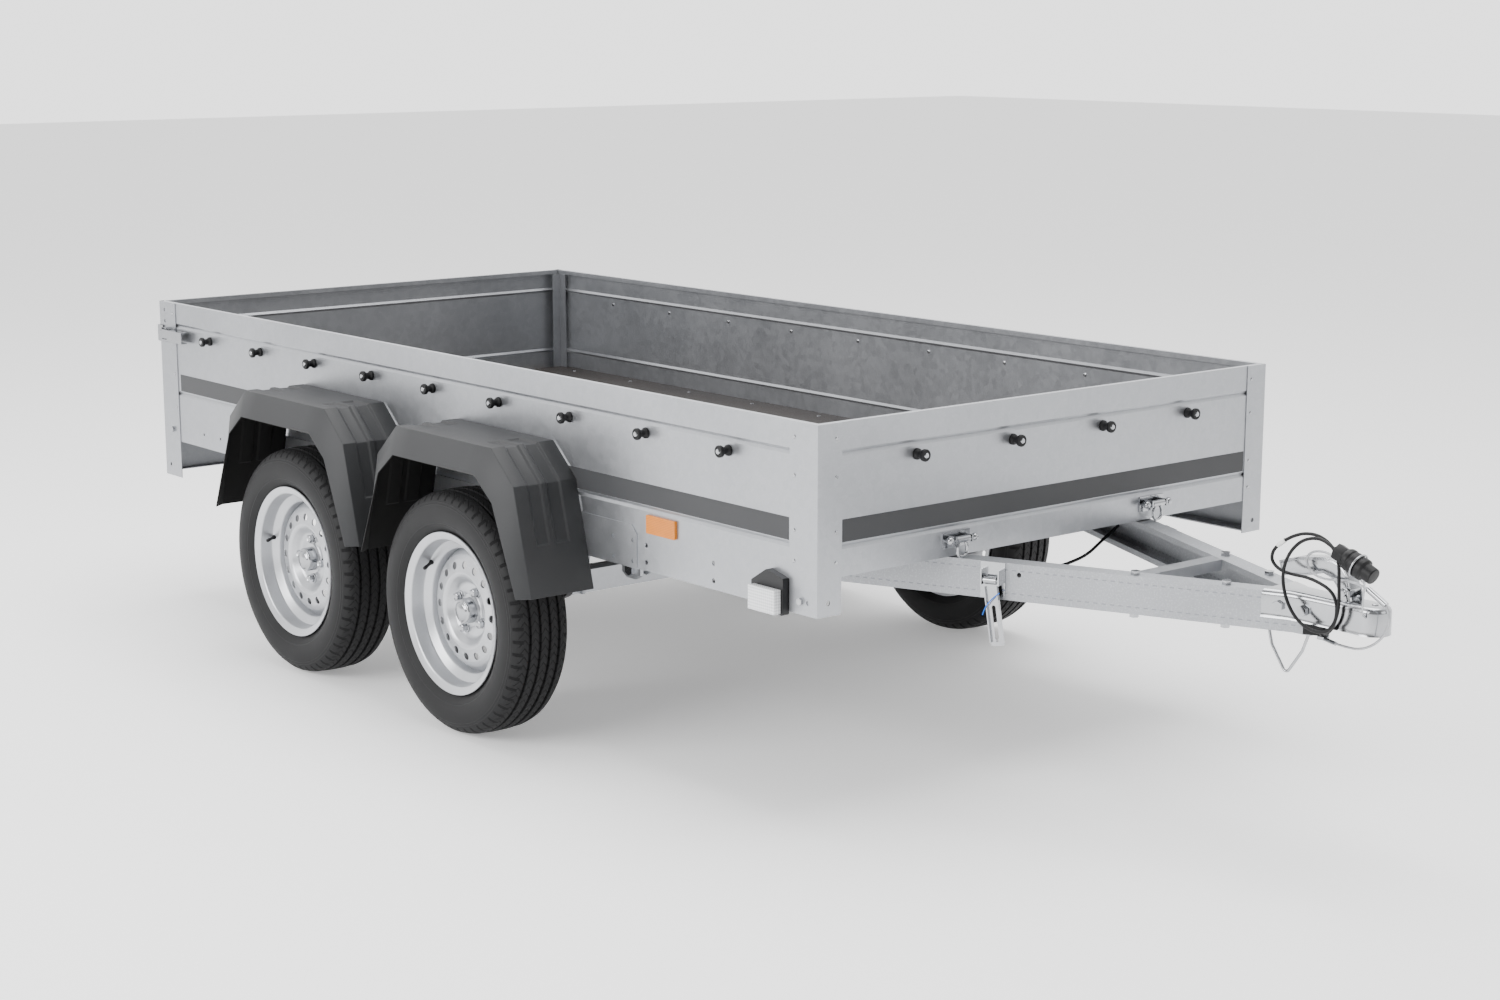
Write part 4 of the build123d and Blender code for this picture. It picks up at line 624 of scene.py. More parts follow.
# %% One button
button = turn_up("button", [
    (0, 0), (0.0118, 0), (0.0112, 0.0050), (0.0078, 0.0080), (0.0072, 0.0180), (0.0122, 0.0200),
    (0.0125, 0.0262), (0.0112, 0.0280), (0.0066, 0.0280), (0.0062, 0.0255),
    (0, 0.0255)], 20, 0.0008)
smooth(button)
screw = turn_up("screw", [
    (0, 0.0250), (0.0058, 0.0250), (0.0056, 0.0262), (0.0040, 0.0276), (0.0012, 0.0279),
    (0, 0.0262)], 16)
smooth(screw)

# %% Twenty-two buttons
BUTTON_Z, BUTTON_PITCH, BUTTON_MIDDLE_X = 0.7265, 0.2685, -0.405
SIDE_FACE_Y, FRONT_FACE_X = 0.657, 0.935
SEATS = [((BUTTON_MIDDLE_X + BUTTON_PITCH * step, side * SIDE_FACE_Y, BUTTON_Z), (0, side, 0))
         for side in (1, -1) for step in range(-4, 5)]
SEATS += [((FRONT_FACE_X, across, BUTTON_Z), (1, 0, 0)) for across in (-0.400, -0.1333, 0.1333, 0.400)]
places = [Matrix.Translation(seat) @ facing(direction) for seat, direction in SEATS]
buttons = scatter("tarp_buttons", button, places)
screws = scatter("button_screws", screw, places)
for piece in (buttons, screws):
    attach(piece, "chassis")
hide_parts("tarp_knobs")
print("buttons", len(places))

# %% [markdown]
# Inside the box each button's bolt ends in a low round head, and the floor board is held along both
# edges by a row of pan-head screws. They are one small turned shape, copied.

# %% Bolt ends and floor screws
pan_head = turn_up("pan_head", [
    (0, 0), (0.0052, 0), (0.0046, 0.0013), (0.0026, 0.0021), (0, 0.0023)], 12)
smooth(pan_head)
SHEET = 0.0015
SCREW_REAR_X, SCREW_PITCH, SCREW_Y, FLOOR_TOP = -1.62, 0.2775, 0.612, 0.5185
spots = [Matrix.Translation((x, y - direction[1] * SHEET, z) if direction[1] else (x - SHEET, y, z))
         @ facing(-Vector(direction)) for (x, y, z), direction in SEATS]
spots += [Matrix.Translation((SCREW_REAR_X + SCREW_PITCH * step, side * SCREW_Y, FLOOR_TOP))
          for side in (1, -1) for step in range(10)]
small_heads = scatter("bolt_ends", pan_head, spots)
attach(small_heads, "chassis")
print("bolt ends and floor screws", len(spots))

# %% [markdown]
# ## Stripes
# A dark band of film runs along the box between the two swages, on both sides and on the front,
# without any lettering. It is as thin as a sticker, with its corners cut round, and stands a hair
# in front of the sheet.


# %% Stripe film
def stripe(name, start, end, out):
    """A band of film from a lower start corner to an upper end corner, just proud of the sheet."""
    corners = [start, (end[0], end[1], start[2]), end, (start[0], start[1], end[2])]
    film = push(name, corners, out)
    bevel(film, 0.0025, 3, 60)
    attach(film, "chassis")
    return film


STRIPE_LOW, STRIPE_HIGH = 0.5755, 0.6205
STRIPE_REAR, STRIPE_FRONT, STRIPE_HALF_WIDTH = -1.655, 0.852, 0.594
FILM, AIR = 0.00035, 0.0001
side_y, front_x = SIDE_FACE_Y + AIR, FRONT_FACE_X + AIR
stripes = [stripe(f"stripe_{side}", (STRIPE_REAR, sign * side_y, STRIPE_LOW),
                  (STRIPE_FRONT, sign * side_y, STRIPE_HIGH), (0, sign * FILM, 0))
           for side, sign in (("right", -1), ("left", 1))]
stripes.append(stripe("stripe_front", (front_x, -STRIPE_HALF_WIDTH, STRIPE_LOW),
                      (front_x, STRIPE_HALF_WIDTH, STRIPE_HIGH), (FILM, 0, 0)))
print("stripes", len(stripes))

# %% [markdown]
# ## Plug and label on the cable
# The cable ends in a round plug: a thin relief, a hexagon gland, a ribbed body with a locking tab,
# and a narrow front. It is turned about its own axis, its gland is a six-sided cylinder with inset
# ends, and then all of it is turned to the cable's last direction. A white label sleeve sits on the
# cable's first loop.

# %% Plug
body = turn_up("plug_body", [
    (0, 0.028), (0.0180, 0.028), (0.0206, 0.033), (0.0210, 0.040), (0.0196, 0.0415),
    (0.0196, 0.0445), (0.0210, 0.046), (0.0210, 0.056), (0.0196, 0.0575), (0.0196, 0.0605),
    (0.0210, 0.062), (0.0208, 0.073), (0.0162, 0.0755), (0.0158, 0.094), (0.0145, 0.096),
    (0, 0.096)], 40, 0.0006)
relief = turn_up("plug_relief", [
    (0, 0), (0.0060, 0), (0.0088, 0.003), (0.0090, 0.008), (0, 0.008)], 24, 0.0006)
clear()
bpy.ops.mesh.primitive_cylinder_add(vertices=6, radius=0.0172, depth=0.024, location=(0, 0, 0.018))
gland = settle("plug_gland")
edit()
pick("FACE", lambda place, normal: abs(normal.z) > 0.9)
bpy.ops.mesh.inset(thickness=0.0022, depth=0.0014)
leave()
clear()
bpy.ops.mesh.primitive_cube_add(size=1, location=(0, -0.0225, 0.040), scale=(0.012, 0.010, 0.014))
tab = settle("plug_tab")
edit()
pick("FACE", lambda place, normal: normal.y < -0.9)
bpy.ops.mesh.inset(thickness=0.0022, depth=-0.0012)
leave()
plug = join("cable_plug", [body, relief, gland, tab])
soften(plug, 0.0007, 2)
along = Vector((0.089, 0, -0.037)).normalized()
across = Vector((0, 1, 0))
heading = Matrix((along.cross(across), across, along)).transposed().to_4x4()
plug.data.transform(Matrix.Translation(CABLE[-1]) @ heading
                    @ Matrix.Rotation(math.radians(200), 4, "Z"))
choose(plug)
edit()
tidy_mesh()
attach(plug, "drawbar")
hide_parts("plug")
print("plug", len(plug.data.polygons), "faces")

# %% Label sleeve
sleeve = turn_up("cable_label", [
    (0.0034, -0.011), (0.0046, -0.0105), (0.0047, 0), (0.0046, 0.0105),
    (0.0034, 0.011)], 20, 0.0005)
cable_line = line_points("cable_guide", CABLE)
nearest = min(range(1, len(cable_line) - 1),
              key=lambda index: (cable_line[index] - Vector((1.557, -0.053, 0.604))).length)
sleeve_run = cable_line[nearest + 1] - cable_line[nearest - 1]
sleeve.data.transform(Matrix.Translation(cable_line[nearest]) @ facing(sleeve_run))
smooth(sleeve)
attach(sleeve, "drawbar")
print("label at", tuple(round(value, 3) for value in cable_line[nearest]))

# %% [markdown]
# ## Lamp lenses
# The front marker lamps have a pale block, the rear lamps red ones. Each lens starts as a cube. Its
# outer face is inset twice, sunk and then raised, and its edges are bevelled, which gives the rim
# and the raised field.


# %% A moulded lens
def moulded_lens(name, low, high, outward, rim=0.005, rise=0.0015):
    """A block between two corners whose outward face has a rim and a raised field."""
    clear()
    middle = (Vector(low) + Vector(high)) / 2
    bpy.ops.mesh.primitive_cube_add(size=1, location=middle, scale=Vector(high) - Vector(low))
    block = settle(name)
    edit()
    pick("FACE", lambda place, normal: normal.dot(Vector(outward)) > 0.9)
    bpy.ops.mesh.inset(thickness=rim, depth=-rise)
    bpy.ops.mesh.inset(thickness=rim * 0.4, depth=rise)
    leave()
    soften(block, min(rim * 0.4, 0.0025), 3, 30)
    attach(block, "chassis")
    return block


MARKER_X, MARKER_Y, MARKER_Z = (0.767, 0.847), (0.673, 0.691), (0.430, 0.478)
front_lenses = []
for side, sign in SIDES.items():
    near, far = sorted(sign * y for y in MARKER_Y)
    piece = moulded_lens(f"marker_lens_{side}", (MARKER_X[0], near, MARKER_Z[0]),
                         (MARKER_X[1], far, MARKER_Z[1]), (0, sign, 0))
    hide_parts("front_lenses")
    front_lenses.append(piece)
print("marker lenses", len(front_lenses))

# %% [markdown]
# The rear lamps' red lenses are split by an upright rib into two raised fields, so each is two
# moulded blocks.

# %% Rear lenses
rear_low, rear_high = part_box("rear_lenses")
TAIL_FIELDS = ((0.4055, 0.4990), (0.5010, 0.5945))
rear_lenses = []
for side, sign in SIDES.items():
    fields = []
    for number, span in enumerate(TAIL_FIELDS):
        near, far = sorted(sign * y for y in span)
        fields.append(moulded_lens(f"tail_field_{number}", (rear_low[0], near, rear_low[2]),
                                   (rear_high[0], far, rear_high[2]), (-1, 0, 0), rim=0.004))
    piece = join(f"tail_lens_{side}", fields)
    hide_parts("rear_lenses")
    rear_lenses.append(piece)
print("rear lenses", len(rear_lenses), "from x", round(rear_low[0], 4), "to", round(rear_high[0], 4))

# %% [markdown]
# ## Coupling
# The coupling is a pressed steel shell: wide where it is bolted to the bars, narrow at the neck,
# round over the ball. Its upper edge is well rounded, its lower edge turns out into a lip, and
# shallow fields are pressed into the handle's sides. An outline seen from above is extruded up and
# its top edge is bevelled round. Below, the bottom face is extruded and widened to the lip, then
# inset and pushed back up, which leaves the hollow.

# %% Shell outline
NOSE = Vector((1.731, 0, 0.477))
NOSE_RADIUS = 0.034
SHELL_LOW, SHELL_HIGH = 0.455, 0.509
half = [(1.517, 0.0551), (1.566, 0.0344), (1.608, 0.0325), (1.671, 0.0320)]
arc = [(NOSE.x + NOSE_RADIUS * math.cos(angle), NOSE_RADIUS * math.sin(angle))
       for angle in (math.radians(105 - 15 * step) for step in range(15))]
outline = half + arc + [(x, -y) for x, y in reversed(half)]
shell = push("coupling_shell", [(x, y, SHELL_LOW + 0.010) for x, y in outline], (0, 0, 0.044))
choose(shell)
edit()
pick("FACE", lambda place, normal: normal.z < -0.9)
bpy.ops.mesh.extrude_region_move(TRANSFORM_OT_translate={"value": (0, 0, -0.006)})
bpy.ops.mesh.extrude_region_move(TRANSFORM_OT_translate={"value": (0, 0, -0.004)})
bpy.ops.transform.resize(value=(1.0, 1.045, 1.0))
bpy.ops.mesh.inset(thickness=0.0045, depth=0.0)
bpy.ops.mesh.extrude_region_move(TRANSFORM_OT_translate={"value": (0, 0, 0.036)})
leave()
print("shell", len(shell.data.polygons), "faces")

# %% Rounded top
edit()
pick("EDGE", lambda place, run:
     place.z > SHELL_HIGH - 0.0005 and abs(run.z) < 0.1 and place.x > half[0][0] + 0.001)
bpy.ops.mesh.bevel(offset=0.0115, segments=5, profile=0.5)
tidy_mesh()
smooth(shell, 32)
print("rounded shell", len(shell.data.polygons), "faces")

# %% [markdown]
# The ears that carry the handle's pin stand on the shell: two plates with round tops, the pin
# between them and its two heads. The top of the nose gets the small round button that shows when
# the ball is locked.


# %% Ears and pin
def plate_across(name, outline, near, far):
    """A plate drawn in side view, from one y to another."""
    plate = push(name, [(x, near, z) for x, z in outline], (0, far - near, 0))
    bevel(plate, 0.0008)
    return plate


PIN_X, PIN_Z, EAR_RADIUS = 1.680, 0.524, 0.010
EAR_TOP = [(PIN_X + EAR_RADIUS * math.cos(angle), PIN_Z + EAR_RADIUS * math.sin(angle))
           for angle in map(math.radians, range(0, 181, 20))]
EAR = [(1.693, 0.505)] + EAR_TOP + [(1.667, 0.505)]
ears = [plate_across(f"ear_{side}", EAR, side * 0.0178, side * 0.0215) for side in (-1, 1)]
pin = turn_across("pin", [
    (-0.0252, 0), (-0.0252, 0.0052), (-0.0218, 0.0064), (-0.0215, 0.0040), (0.0215, 0.0040),
    (0.0218, 0.0064), (0.0252, 0.0052), (0.0252, 0)], 20)
pin.data.transform(Matrix.Translation((PIN_X, 0, PIN_Z)))
button = turn_up("nose_button", [
    (0, 0), (0.0062, 0), (0.0060, 0.0016), (0.0044, 0.0026), (0, 0.0030)], 24)
button.data.transform(Matrix.Translation((1.735, 0, SHELL_HIGH - 0.0002)))
coupling = join("coupling", [shell] + ears + [pin, button])
smooth(coupling, 32)
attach(coupling, "drawbar")
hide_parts("coupling_head")

# %% [markdown]
# ## Coupling handle
# The handle is a narrow pressed channel: an arched back, a hooked leg that reaches down to the
# ball, a stepped foot, and a grip with a long raised field on each side. Its side view is extruded
# across, the side faces are inset and raised, and everything is rounded.

# %% Handle
HANDLE = [(1.5230, 0.5590), (1.5300, 0.5380), (1.5370, 0.5330), (1.5900, 0.5410), (1.6270, 0.5520),
          (1.6470, 0.5450), (1.6690, 0.5180), (1.6820, 0.5130), (1.6900, 0.5300), (1.6830, 0.5560),
          (1.6680, 0.5750), (1.6480, 0.5815), (1.6240, 0.5820), (1.5700, 0.5740)]
HANDLE_WIDTH = 0.031
handle = push("coupling_handle_cover", [(x, -HANDLE_WIDTH / 2, z) for x, z in HANDLE],
              (0, HANDLE_WIDTH, 0))
edit()
pick("FACE", lambda place, normal: abs(normal.y) > 0.9)
bpy.ops.mesh.inset(thickness=0.0034, depth=0.0)
bpy.ops.mesh.inset(thickness=0.0016, depth=0.0014)
leave()
soften(handle, 0.0016, 3, 38)
smooth(handle, 50)
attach(handle, "coupling_handle")
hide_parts("coupling_handle")
print("handle", len(handle.data.polygons), "faces")

# %% [markdown]
# ## Finishes
# Every surface has a finish that is worked out from its place on the trailer, so nothing needs
# unwrapping. Shader sums are easier to read as sums, so a small class wraps a socket: adding or
# multiplying two signals adds the Math node that does it. A second class holds one material, makes
# its other nodes, and feeds them.


# %% Signals that take part in sums
class Signal:
    """A value in a shader that adds, multiplies and divides like a number."""

    def __init__(self, finish, socket):
        self.finish = finish
        self.socket = socket

    def __add__(self, other):
        return self.finish.math("ADD", self, other)

    def __sub__(self, other):
        return self.finish.math("SUBTRACT", self, other)

    def __rsub__(self, other):
        return self.finish.math("SUBTRACT", other, self)

    def __mul__(self, other):
        return self.finish.math("MULTIPLY", self, other)

    def __truediv__(self, other):
        return self.finish.math("DIVIDE", self, other)

    def __rtruediv__(self, other):
        return self.finish.math("DIVIDE", other, self)

    def __abs__(self):
        return self.finish.math("ABSOLUTE", self)

    __radd__ = __add__
    __rmul__ = __mul__


# %% A finish
class Finish:
    """One procedural material, with its constants set on the shader's own sockets."""

    def __init__(self, name, constants):
        self.material = bpy.data.materials.new(name)
        self.material.use_nodes = True
        self.tree = self.material.node_tree
        self.shader = self.tree.nodes["Principled BSDF"]
        for label, value in constants.items():
            self.shader.inputs[label].default_value = value

    def feed(self, socket, value):
        if isinstance(value, Signal):
            self.tree.links.new(value.socket, socket)
        else:
            socket.default_value = value

    def node(self, kind, output, settings=(), inputs=()):
        """Any node: its settings first, then its sockets' values or links; one output comes back."""
        node = self.tree.nodes.new("ShaderNode" + kind)
        for key, value in dict(settings).items():
            if key == "stops":
                for stop, (position, color) in zip(node.color_ramp.elements, value):
                    stop.position, stop.color = position, (*color, 1)
            else:
                setattr(node, key, value)
        for key, value in dict(inputs).items():
            self.feed(node.inputs[key], value)
        return Signal(self, node.outputs[output])

    def math(self, operation, *values):
        return self.node("Math", 0, {"operation": operation}, enumerate(values))

    def place(self, centre=(0, 0, 0), turned=(0, 0, 0)):
        """Object coordinates seen from a centre and a turned frame."""
        here = self.node("TexCoord", "Object")
        return self.node("Mapping", 0, {"vector_type": "TEXTURE"},
                         {"Vector": here, "Location": centre, "Rotation": turned})

    def axes(self, vector):
        x = self.node("SeparateXYZ", "X", (), {0: vector})
        parts = x.socket.node.outputs
        return [Signal(self, parts[name]) for name in "XYZ"]

    def noise(self, vector, scale, detail=2.0, roughness=0.5):
        return self.node("TexNoise", 0, (), {"Vector": vector, "Scale": scale, "Detail": detail,
                                             "Roughness": roughness})

    def step(self, value, low, high):
        """A smooth rise from 0 at low to 1 at high."""
        return self.node("MapRange", 0, {"interpolation_type": "SMOOTHSTEP"},
                         {"Value": value, "From Min": low, "From Max": high})

    def mix(self, amount, first, second):
        """Two colours mixed by an amount."""
        tint = [value if isinstance(value, Signal) else (*value, 1) for value in (first, second)]
        return self.node("Mix", 2, {"data_type": "RGBA"}, {0: amount, 6: tint[0], 7: tint[1]})

    def bump(self, height, distance, strength=1.0):
        return self.node("Bump", 0, (), {"Height": height, "Distance": distance, "Strength": strength})

    def shade(self, **signals):
        for label, signal in signals.items():
            self.feed(self.shader.inputs[label.replace("_", " ")], signal)
        return self.material


# %% [markdown]
# ### Galvanised sheet and frame
# Hot-dip zinc is a dull mirror. Close up it shows a fine crystal speckle, further off a soft
# cloudiness, and its gloss varies with both. Noise of three sizes and a cell pattern give that: the
# speckle tints the colour and roughens the surface, and the clouds change how sharp its reflections
# are.


# %% Zinc coat
def zinc(name, light, dark, roughness, speckle=0.5, metallic=0.9):
    """Galvanised steel between two greys."""
    finish = Finish(name, {"Metallic": metallic})
    here = finish.place()
    grain = finish.noise(here, 620, 2, 0.65)
    flecks = finish.step(finish.noise(here, 240, 1, 0.5), 0.52, 0.72)
    crystals = finish.node("TexVoronoi", "Color", (), {"Vector": here, "Scale": 70})
    crystal = finish.axes(crystals)[0]
    clouds = finish.noise(here, 3.2, 3, 0.55)
    amount = clouds * 0.55 + crystal * 0.14 + grain * speckle * 0.5 + flecks * speckle * 0.18 - 0.12
    rough = roughness + (clouds - 0.5) * 0.16 + crystal * 0.05 + grain * 0.10 - 0.06
    skin = finish.bump(grain + crystal * 0.3, 0.00004, 0.6)
    return finish.shade(Base_Color=finish.mix(amount, dark, light), Roughness=rough, Normal=skin)


FINISHES = {
    "galvanised": zinc("galvanised_sheet", (0.53, 0.54, 0.56), (0.32, 0.33, 0.35), 0.36),
    "galvanised_dark": zinc("galvanised_frame", (0.46, 0.47, 0.49), (0.28, 0.29, 0.31), 0.48, 0.7),
    "zinc_plated": zinc("bright_zinc", (0.54, 0.54, 0.54), (0.34, 0.35, 0.37), 0.17, 0.2, 1.0),
}
print("zinc finishes", len(FINISHES))

# %% [markdown]
# ### Drawbar bars
# The bars' webs carry two rows of short dashes, the marks of the rollers that fold them, near the
# upper and the lower bend. The bars run inwards towards the coupling, so the pattern is read in a
# frame turned with them.

# %% Bars with roller marks
BAR_TURN = math.radians(23.02)
BAR_MIDDLE = 0.4675


def bar_finish(name, turned):
    finish = Finish(name, {"Metallic": 0.85})
    here = finish.place((0.935, 0.298 * (1 if turned < 0 else -1), BAR_MIDDLE), (0, 0, turned))
    along, _, up = finish.axes(here)
    grain = finish.noise(here, 520, 2, 0.7)
    flecks = finish.step(finish.noise(here, 260, 1, 0.5), 0.50, 0.68)
    clouds = finish.noise(here, 4.5, 3, 0.6)
    row = finish.step(abs(abs(up) - 0.0235), 0.0016, 0.0006)
    dash = finish.step(finish.math("FRACT", along / 0.017), 0.46, 0.54)
    marks = row * dash
    amount = clouds * 0.5 + grain * 0.30 + flecks * 0.22 - marks * 0.75 - 0.02
    skin = finish.bump(grain * 0.4 - marks, 0.0003, 0.7)
    rough = 0.42 + grain * 0.10 + clouds * 0.10 - marks * 0.12
    return finish.shade(Base_Color=finish.mix(amount, (0.25, 0.26, 0.28), (0.56, 0.57, 0.59)),
                        Roughness=rough, Normal=skin)


FINISHES["bar_left"] = bar_finish("bar_left_zinc", -BAR_TURN)
FINISHES["bar_right"] = bar_finish("bar_right_zinc", BAR_TURN)

# %% [markdown]
# ### Tyre rubber
# The tread's four grooves are modelled. Its fine cuts, the notches of its shoulders and the thin
# rings on its sidewall would take many thousands of faces, so they are bumps: the angle about the
# axle repeats the cuts, the distance from the axle places the rings, and the distance from the
# wheel's middle tells tread from wall. The colour is darkened in the cuts and notches, as painted
# shade, and lightened a little on the rings, as a painted highlight.


# %% Tyre finish
def tyre_finish(name, wheel_x):
    finish = Finish(name, {"Metallic": 0.0, "IOR": 1.36})
    here = finish.place((wheel_x, 0, TYRE))
    x, y, z = finish.axes(here)
    angle = finish.math("ARCTAN2", z, x) / math.tau
    radius = finish.math("SQRT", x * x + z * z)
    across = abs(y) - WHEEL_Y
    tread_zone = finish.step(radius, 0.2625, 0.2668)
    ribs = finish.math("PINGPONG", across + 0.2, 0.0125) / 0.0125
    sipes = finish.math("FRACT", angle * 88 + ribs * 0.9)
    cuts = finish.step(abs(sipes - 0.5), 0.11, 0.05) * tread_zone
    shoulder = finish.step(abs(across), 0.050, 0.054) * finish.step(radius, 0.252, 0.257)
    notches = finish.step(abs(finish.math("FRACT", angle * 58) - 0.5), 0.16, 0.10) * shoulder
    ring_a = finish.step(abs(radius - 0.2025), 0.0014, 0.0006)
    ring_b = finish.step(abs(radius - 0.2440), 0.0013, 0.0005)
    ring_c = finish.step(abs(radius - 0.2500), 0.0010, 0.0004)
    grain = finish.noise(here, 700, 2, 0.6)
    dust = finish.noise(here, 9, 3, 0.6)
    holes = finish.math("MAXIMUM", cuts, notches)
    rings = ring_a + ring_b + ring_c
    height = rings * 0.4 - holes + grain * 0.05
    # painted shade darkens the cuts and notches; a painted highlight lightens the rings
    amount = dust * 0.5 + grain * 0.3 + rings * 0.12 - holes * 0.9
    return finish.shade(Base_Color=finish.mix(amount, (0.0035, 0.0035, 0.004), (0.017, 0.017, 0.018)),
                        Roughness=0.56 + dust * 0.18 + holes * 0.2 - rings * 0.08,
                        Normal=finish.bump(height, 0.0016, 0.85))


for axle, wheel_x in AXLE_X.items():
    FINISHES[f"tyre_{axle}"] = tyre_finish(f"tyre_rubber_{axle}", wheel_x)

# %% [markdown]
# ### Silver rim and moulded plastics
# The rims are sprayed silver under a clear coat, which shows as a fine metallic flake. The
# mudguards and the lamp housings are moulded in dark plastic with a fine grain.

# %% Rim paint
rim_paint = Finish("rim_silver_paint", {"Metallic": 0.75, "Coat Weight": 0.35, "Coat Roughness": 0.12})
here = rim_paint.place()
flake = rim_paint.node("TexVoronoi", "Color", (), {"Vector": here, "Scale": 1500})
sparkle = rim_paint.axes(flake)[0]
haze = rim_paint.noise(here, 14, 3, 0.5)
FINISHES["rim_silver"] = rim_paint.shade(
    Base_Color=rim_paint.mix(sparkle * 0.5 + haze * 0.5, (0.40, 0.41, 0.43), (0.60, 0.61, 0.63)),
    Roughness=0.25 + haze * 0.12 + sparkle * 0.06)


# %% Moulded plastic, rubber and lacquer
def moulded(name, dark, light, roughness, grain_size, depth, constants=()):
    """A dark moulded surface with a fine grain and faint clouds."""
    finish = Finish(name, {"Metallic": 0.0, **dict(constants)})
    here = finish.place()
    grain = finish.noise(here, grain_size, 3, 0.6)
    clouds = finish.noise(here, 6, 3, 0.6)
    amount = clouds * 0.7 + grain * 0.4 - 0.05
    return finish.shade(Base_Color=finish.mix(amount, dark, light),
                        Roughness=roughness + clouds * 0.10 + grain * 0.08 - 0.09,
                        Normal=finish.bump(grain, depth, 0.7))


MOULDED = {
    "lamp_black": ("lamp_plastic", (0.005, 0.005, 0.006), (0.014, 0.014, 0.015),
                   0.34, 500, 0.00005, {"IOR": 1.38}),
    "black_rubber": ("black_rubber", (0.003, 0.003, 0.0035), (0.010, 0.010, 0.011),
                     0.46, 600, 0.0001, {"IOR": 1.33}),
    "black_steel": ("black_lacquer", (0.015, 0.015, 0.017), (0.045, 0.045, 0.048),
                    0.36, 300, 0.00006),
    "stripe_film": ("stripe_film", (0.032, 0.033, 0.035), (0.052, 0.053, 0.056),
                    0.45, 500, 0.00002, {"IOR": 1.35}),
    "paper": ("label_paper", (0.72, 0.72, 0.70), (0.88, 0.88, 0.86), 0.55, 400, 0.00005),
}
for kind, values in MOULDED.items():
    FINISHES[kind] = moulded(*values)
print("plastic, rubber, lacquer and paper finishes", len(MOULDED))

# %% [markdown]
# The mudguards are painted dark inside, as painted shade inside the wheel arch. A face's side is told
# by its
# normal: where it points towards the wheel's axle it is the inside, so the colour is darkened
# there.


# %% Mudguard plastic
def guard_finish(name, wheel_x):
    finish = Finish(name, {"Metallic": 0.0, "IOR": 1.38})
    here = finish.place((wheel_x, 0, TYRE))
    x, _, z = finish.axes(here)
    lean_x, _, lean_z = finish.axes(finish.node("TexCoord", "Normal"))
    outward = (x * lean_x + z * lean_z) / finish.math("SQRT", x * x + z * z)
    # painted shade: faces turned towards the axle are darkened nearly to black
    inside = finish.step(outward, 0.02, -0.12)
    grain = finish.noise(here, 900, 3, 0.6)
    clouds = finish.noise(here, 6, 3, 0.6)
    skin = finish.mix(clouds * 0.7 + grain * 0.4 - 0.05, (0.014, 0.0145, 0.0155), (0.034, 0.035, 0.037))
    return finish.shade(Base_Color=finish.mix(inside, skin, (0.004, 0.004, 0.004)),
                        Roughness=0.46 + clouds * 0.10 + inside * 0.3,
                        Normal=finish.bump(grain, 0.00012, 0.7))


for axle, wheel_x in AXLE_X.items():
    FINISHES[f"guard_{axle}"] = guard_finish(f"mudguard_plastic_{axle}", wheel_x)

# %% [markdown]
# ### Lenses and reflectors
# A lamp lens is clear or red plastic with fine moulded ribs; a reflector is a field of tiny prisms
# behind a smooth face. Both are glossy dielectrics whose pattern sits below the surface, so the
# pattern changes the colour and bends the light a little, while the coat stays smooth.


# %% Lens finish
def lens(name, deep, bright, pitch):
    """A glossy coloured lens with a small square pattern under its skin."""
    finish = Finish(name, {"Roughness": 0.18, "Coat Weight": 0.2, "Coat Roughness": 0.05, "IOR": 1.4})
    here = finish.place()
    x, y, z = finish.axes(here)
    across = finish.math("PINGPONG", (x + y) / pitch, 0.5)
    up = finish.math("PINGPONG", z / pitch, 0.5)
    prisms = finish.step(across + up, 0.25, 0.75)
    clouds = finish.noise(here, 25, 2, 0.5)
    return finish.shade(Base_Color=finish.mix(prisms * 0.7 + clouds * 0.3, deep, bright),
                        Normal=finish.bump(prisms, 0.0004, 0.35))


FINISHES["amber"] = lens("amber_reflector", (0.42, 0.11, 0.0), (0.78, 0.24, 0.0), 0.0035)
FINISHES["red_lens"] = lens("red_lens", (0.16, 0.002, 0.003), (0.42, 0.005, 0.007), 0.005)
FINISHES["clear_lens"] = lens("clear_lens", (0.52, 0.53, 0.55), (0.88, 0.89, 0.90), 0.006)

# %% [markdown]
# ### Floor board, wire rope and blue cord
# The floor is birch plywood with a dark film whose fine mesh keeps loads from sliding; its cut edge
# shows the thin layers. The rope is bare steel wire, dull between its strands. The blue cord is a
# braided line, and it glows faintly in its own blue, which is painted light.

# %% Plywood
board = Finish("film_plywood", {"Metallic": 0.0})
here = board.place()
x, y, z = board.axes(here)
facing_up = abs(board.axes(board.node("TexCoord", "Normal"))[2])
mesh_x = board.math("PINGPONG", (x + y) / 0.0045, 0.5)
mesh_y = board.math("PINGPONG", (x - y) / 0.0045, 0.5)
wires = board.step(board.math("MINIMUM", mesh_x, mesh_y), 0.16, 0.05)
wear = board.noise(here, 5, 4, 0.6)
layers = board.step(board.math("PINGPONG", z / 0.0018, 0.5), 0.2, 0.3)
film = board.mix(wear * 0.8 + wires * 0.25, (0.012, 0.0098, 0.0088), (0.038, 0.031, 0.027))
edge = board.mix(layers, (0.16, 0.09, 0.045), (0.36, 0.25, 0.15))
FINISHES["plywood"] = board.shade(Base_Color=board.mix(board.step(facing_up, 0.5, 0.8), edge, film),
                                  Roughness=0.36 + wear * 0.22 + wires * 0.10,
                                  Normal=board.bump(wires, 0.00025, 0.6))

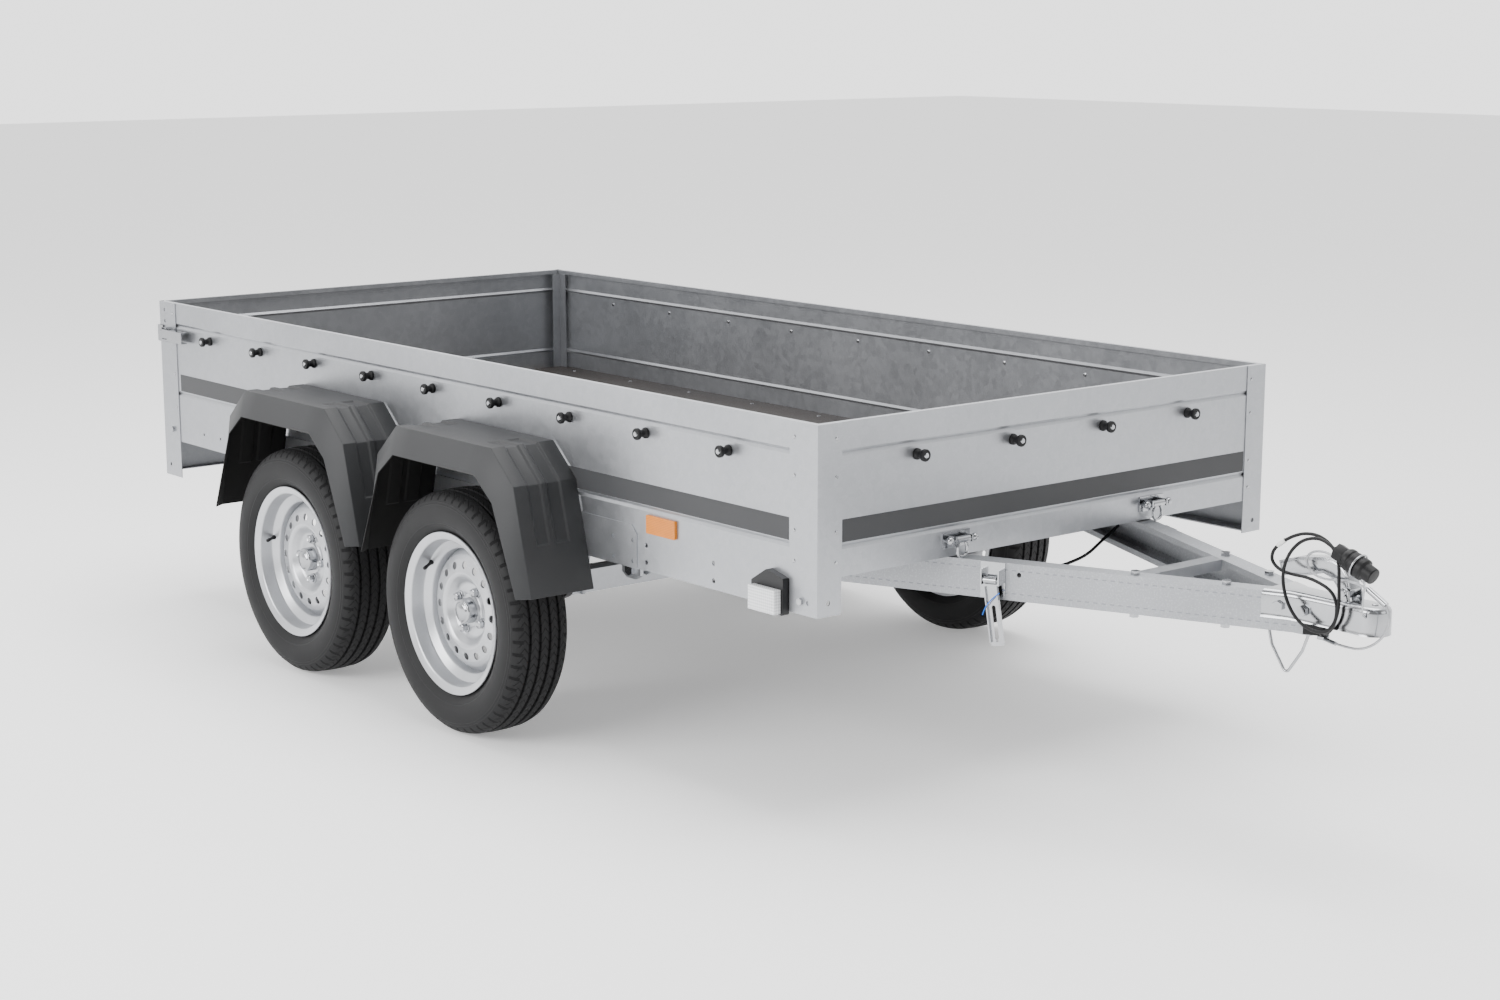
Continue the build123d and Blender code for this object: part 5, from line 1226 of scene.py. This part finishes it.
# %% Rope and cord
steel = Finish("wire_rope_steel", {"Metallic": 0.85})
here = steel.place()
grime = steel.noise(here, 120, 3, 0.6)
wires = steel.noise(here, 1400, 1, 0.5)
FINISHES["steel_rope"] = steel.shade(
    Base_Color=steel.mix(grime * 0.6 + wires * 0.5, (0.20, 0.20, 0.21), (0.62, 0.63, 0.65)),
    Roughness=0.34 + grime * 0.18, Normal=steel.bump(wires, 0.0002, 0.6))
# painted glow: the cord emits a faint light in its own blue
braid_with_painted_glow = Finish("blue_braid", {"Roughness": 0.55, "Emission Strength": 0.05})
here = braid_with_painted_glow.place()
threads = braid_with_painted_glow.noise(here, 1600, 2, 0.6)
blue = braid_with_painted_glow.mix(threads, (0.000, 0.10, 0.50), (0.010, 0.22, 0.95))
FINISHES["blue_cord"] = braid_with_painted_glow.shade(Base_Color=blue, Emission_Color=blue,
                                    Normal=braid_with_painted_glow.bump(threads, 0.0003, 0.8))
print("finishes", len(FINISHES))

# %% [markdown]
# ### A finish for every part
# The record names a finish for each part of the CAD model. The bars and the tyres have their own,
# because their pattern is centred on them.

# %% Finishing the CAD parts
SPECIAL = {"drawbar_left": "bar_left", "drawbar_right": "bar_right"}
for side in SIDES:
    SPECIAL[f"mudguards_{side}"] = "guard_front"
    for axle in AXLE_X:
        SPECIAL[f"{axle}_tyre_{side}"] = f"tyre_{axle}"
for part in frame["record"]["subparts"]:
    kind = SPECIAL.get(part["node"], part["material_slot"])
    for material_slot in nodes[part["node"]].material_slots:
        material_slot.material = FINISHES[kind]


# %% Finishing the new pieces
def finish_piece(piece, kind):
    """Give a new piece one finish."""
    piece.data.materials.clear()
    piece.data.materials.append(FINISHES[kind])


for (axle, side), parts in WHEELS.items():
    finish_piece(parts["tyre"], f"tyre_{axle}")
    finish_piece(parts["rim"], "rim_silver")
    finish_piece(parts["hub"], "black_steel")
    finish_piece(parts["wheel_bolts"], "zinc_plated")
    finish_piece(parts["valve"], "black_rubber")
for (axle, side), piece in GUARDS.items():
    finish_piece(piece, f"guard_{axle}")
for piece in stripes:
    finish_piece(piece, "stripe_film")
finish_piece(sleeve, "paper")
ONE_FINISH = {"black_rubber": [buttons, plug], "zinc_plated": [screws, small_heads, coupling, handle],
              "clear_lens": front_lenses, "red_lens": rear_lenses}
for kind, pieces in ONE_FINISH.items():
    for piece in pieces:
        finish_piece(piece, kind)

# %% [markdown]
# ## Finishing the cords
# The cords get their finishes and ride with the drawbar or the right-hand lock, in place of the CAD
# model's cords.

# %% Cords
finish_piece(cable, "black_rubber")
finish_piece(rope, "steel_rope")
finish_piece(lanyard, "blue_cord")
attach(cable, "drawbar")
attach(rope, "drawbar")
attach(lanyard, "toggle_right")
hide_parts("electric_cable")
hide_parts("safety_rope")
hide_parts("lanyard")
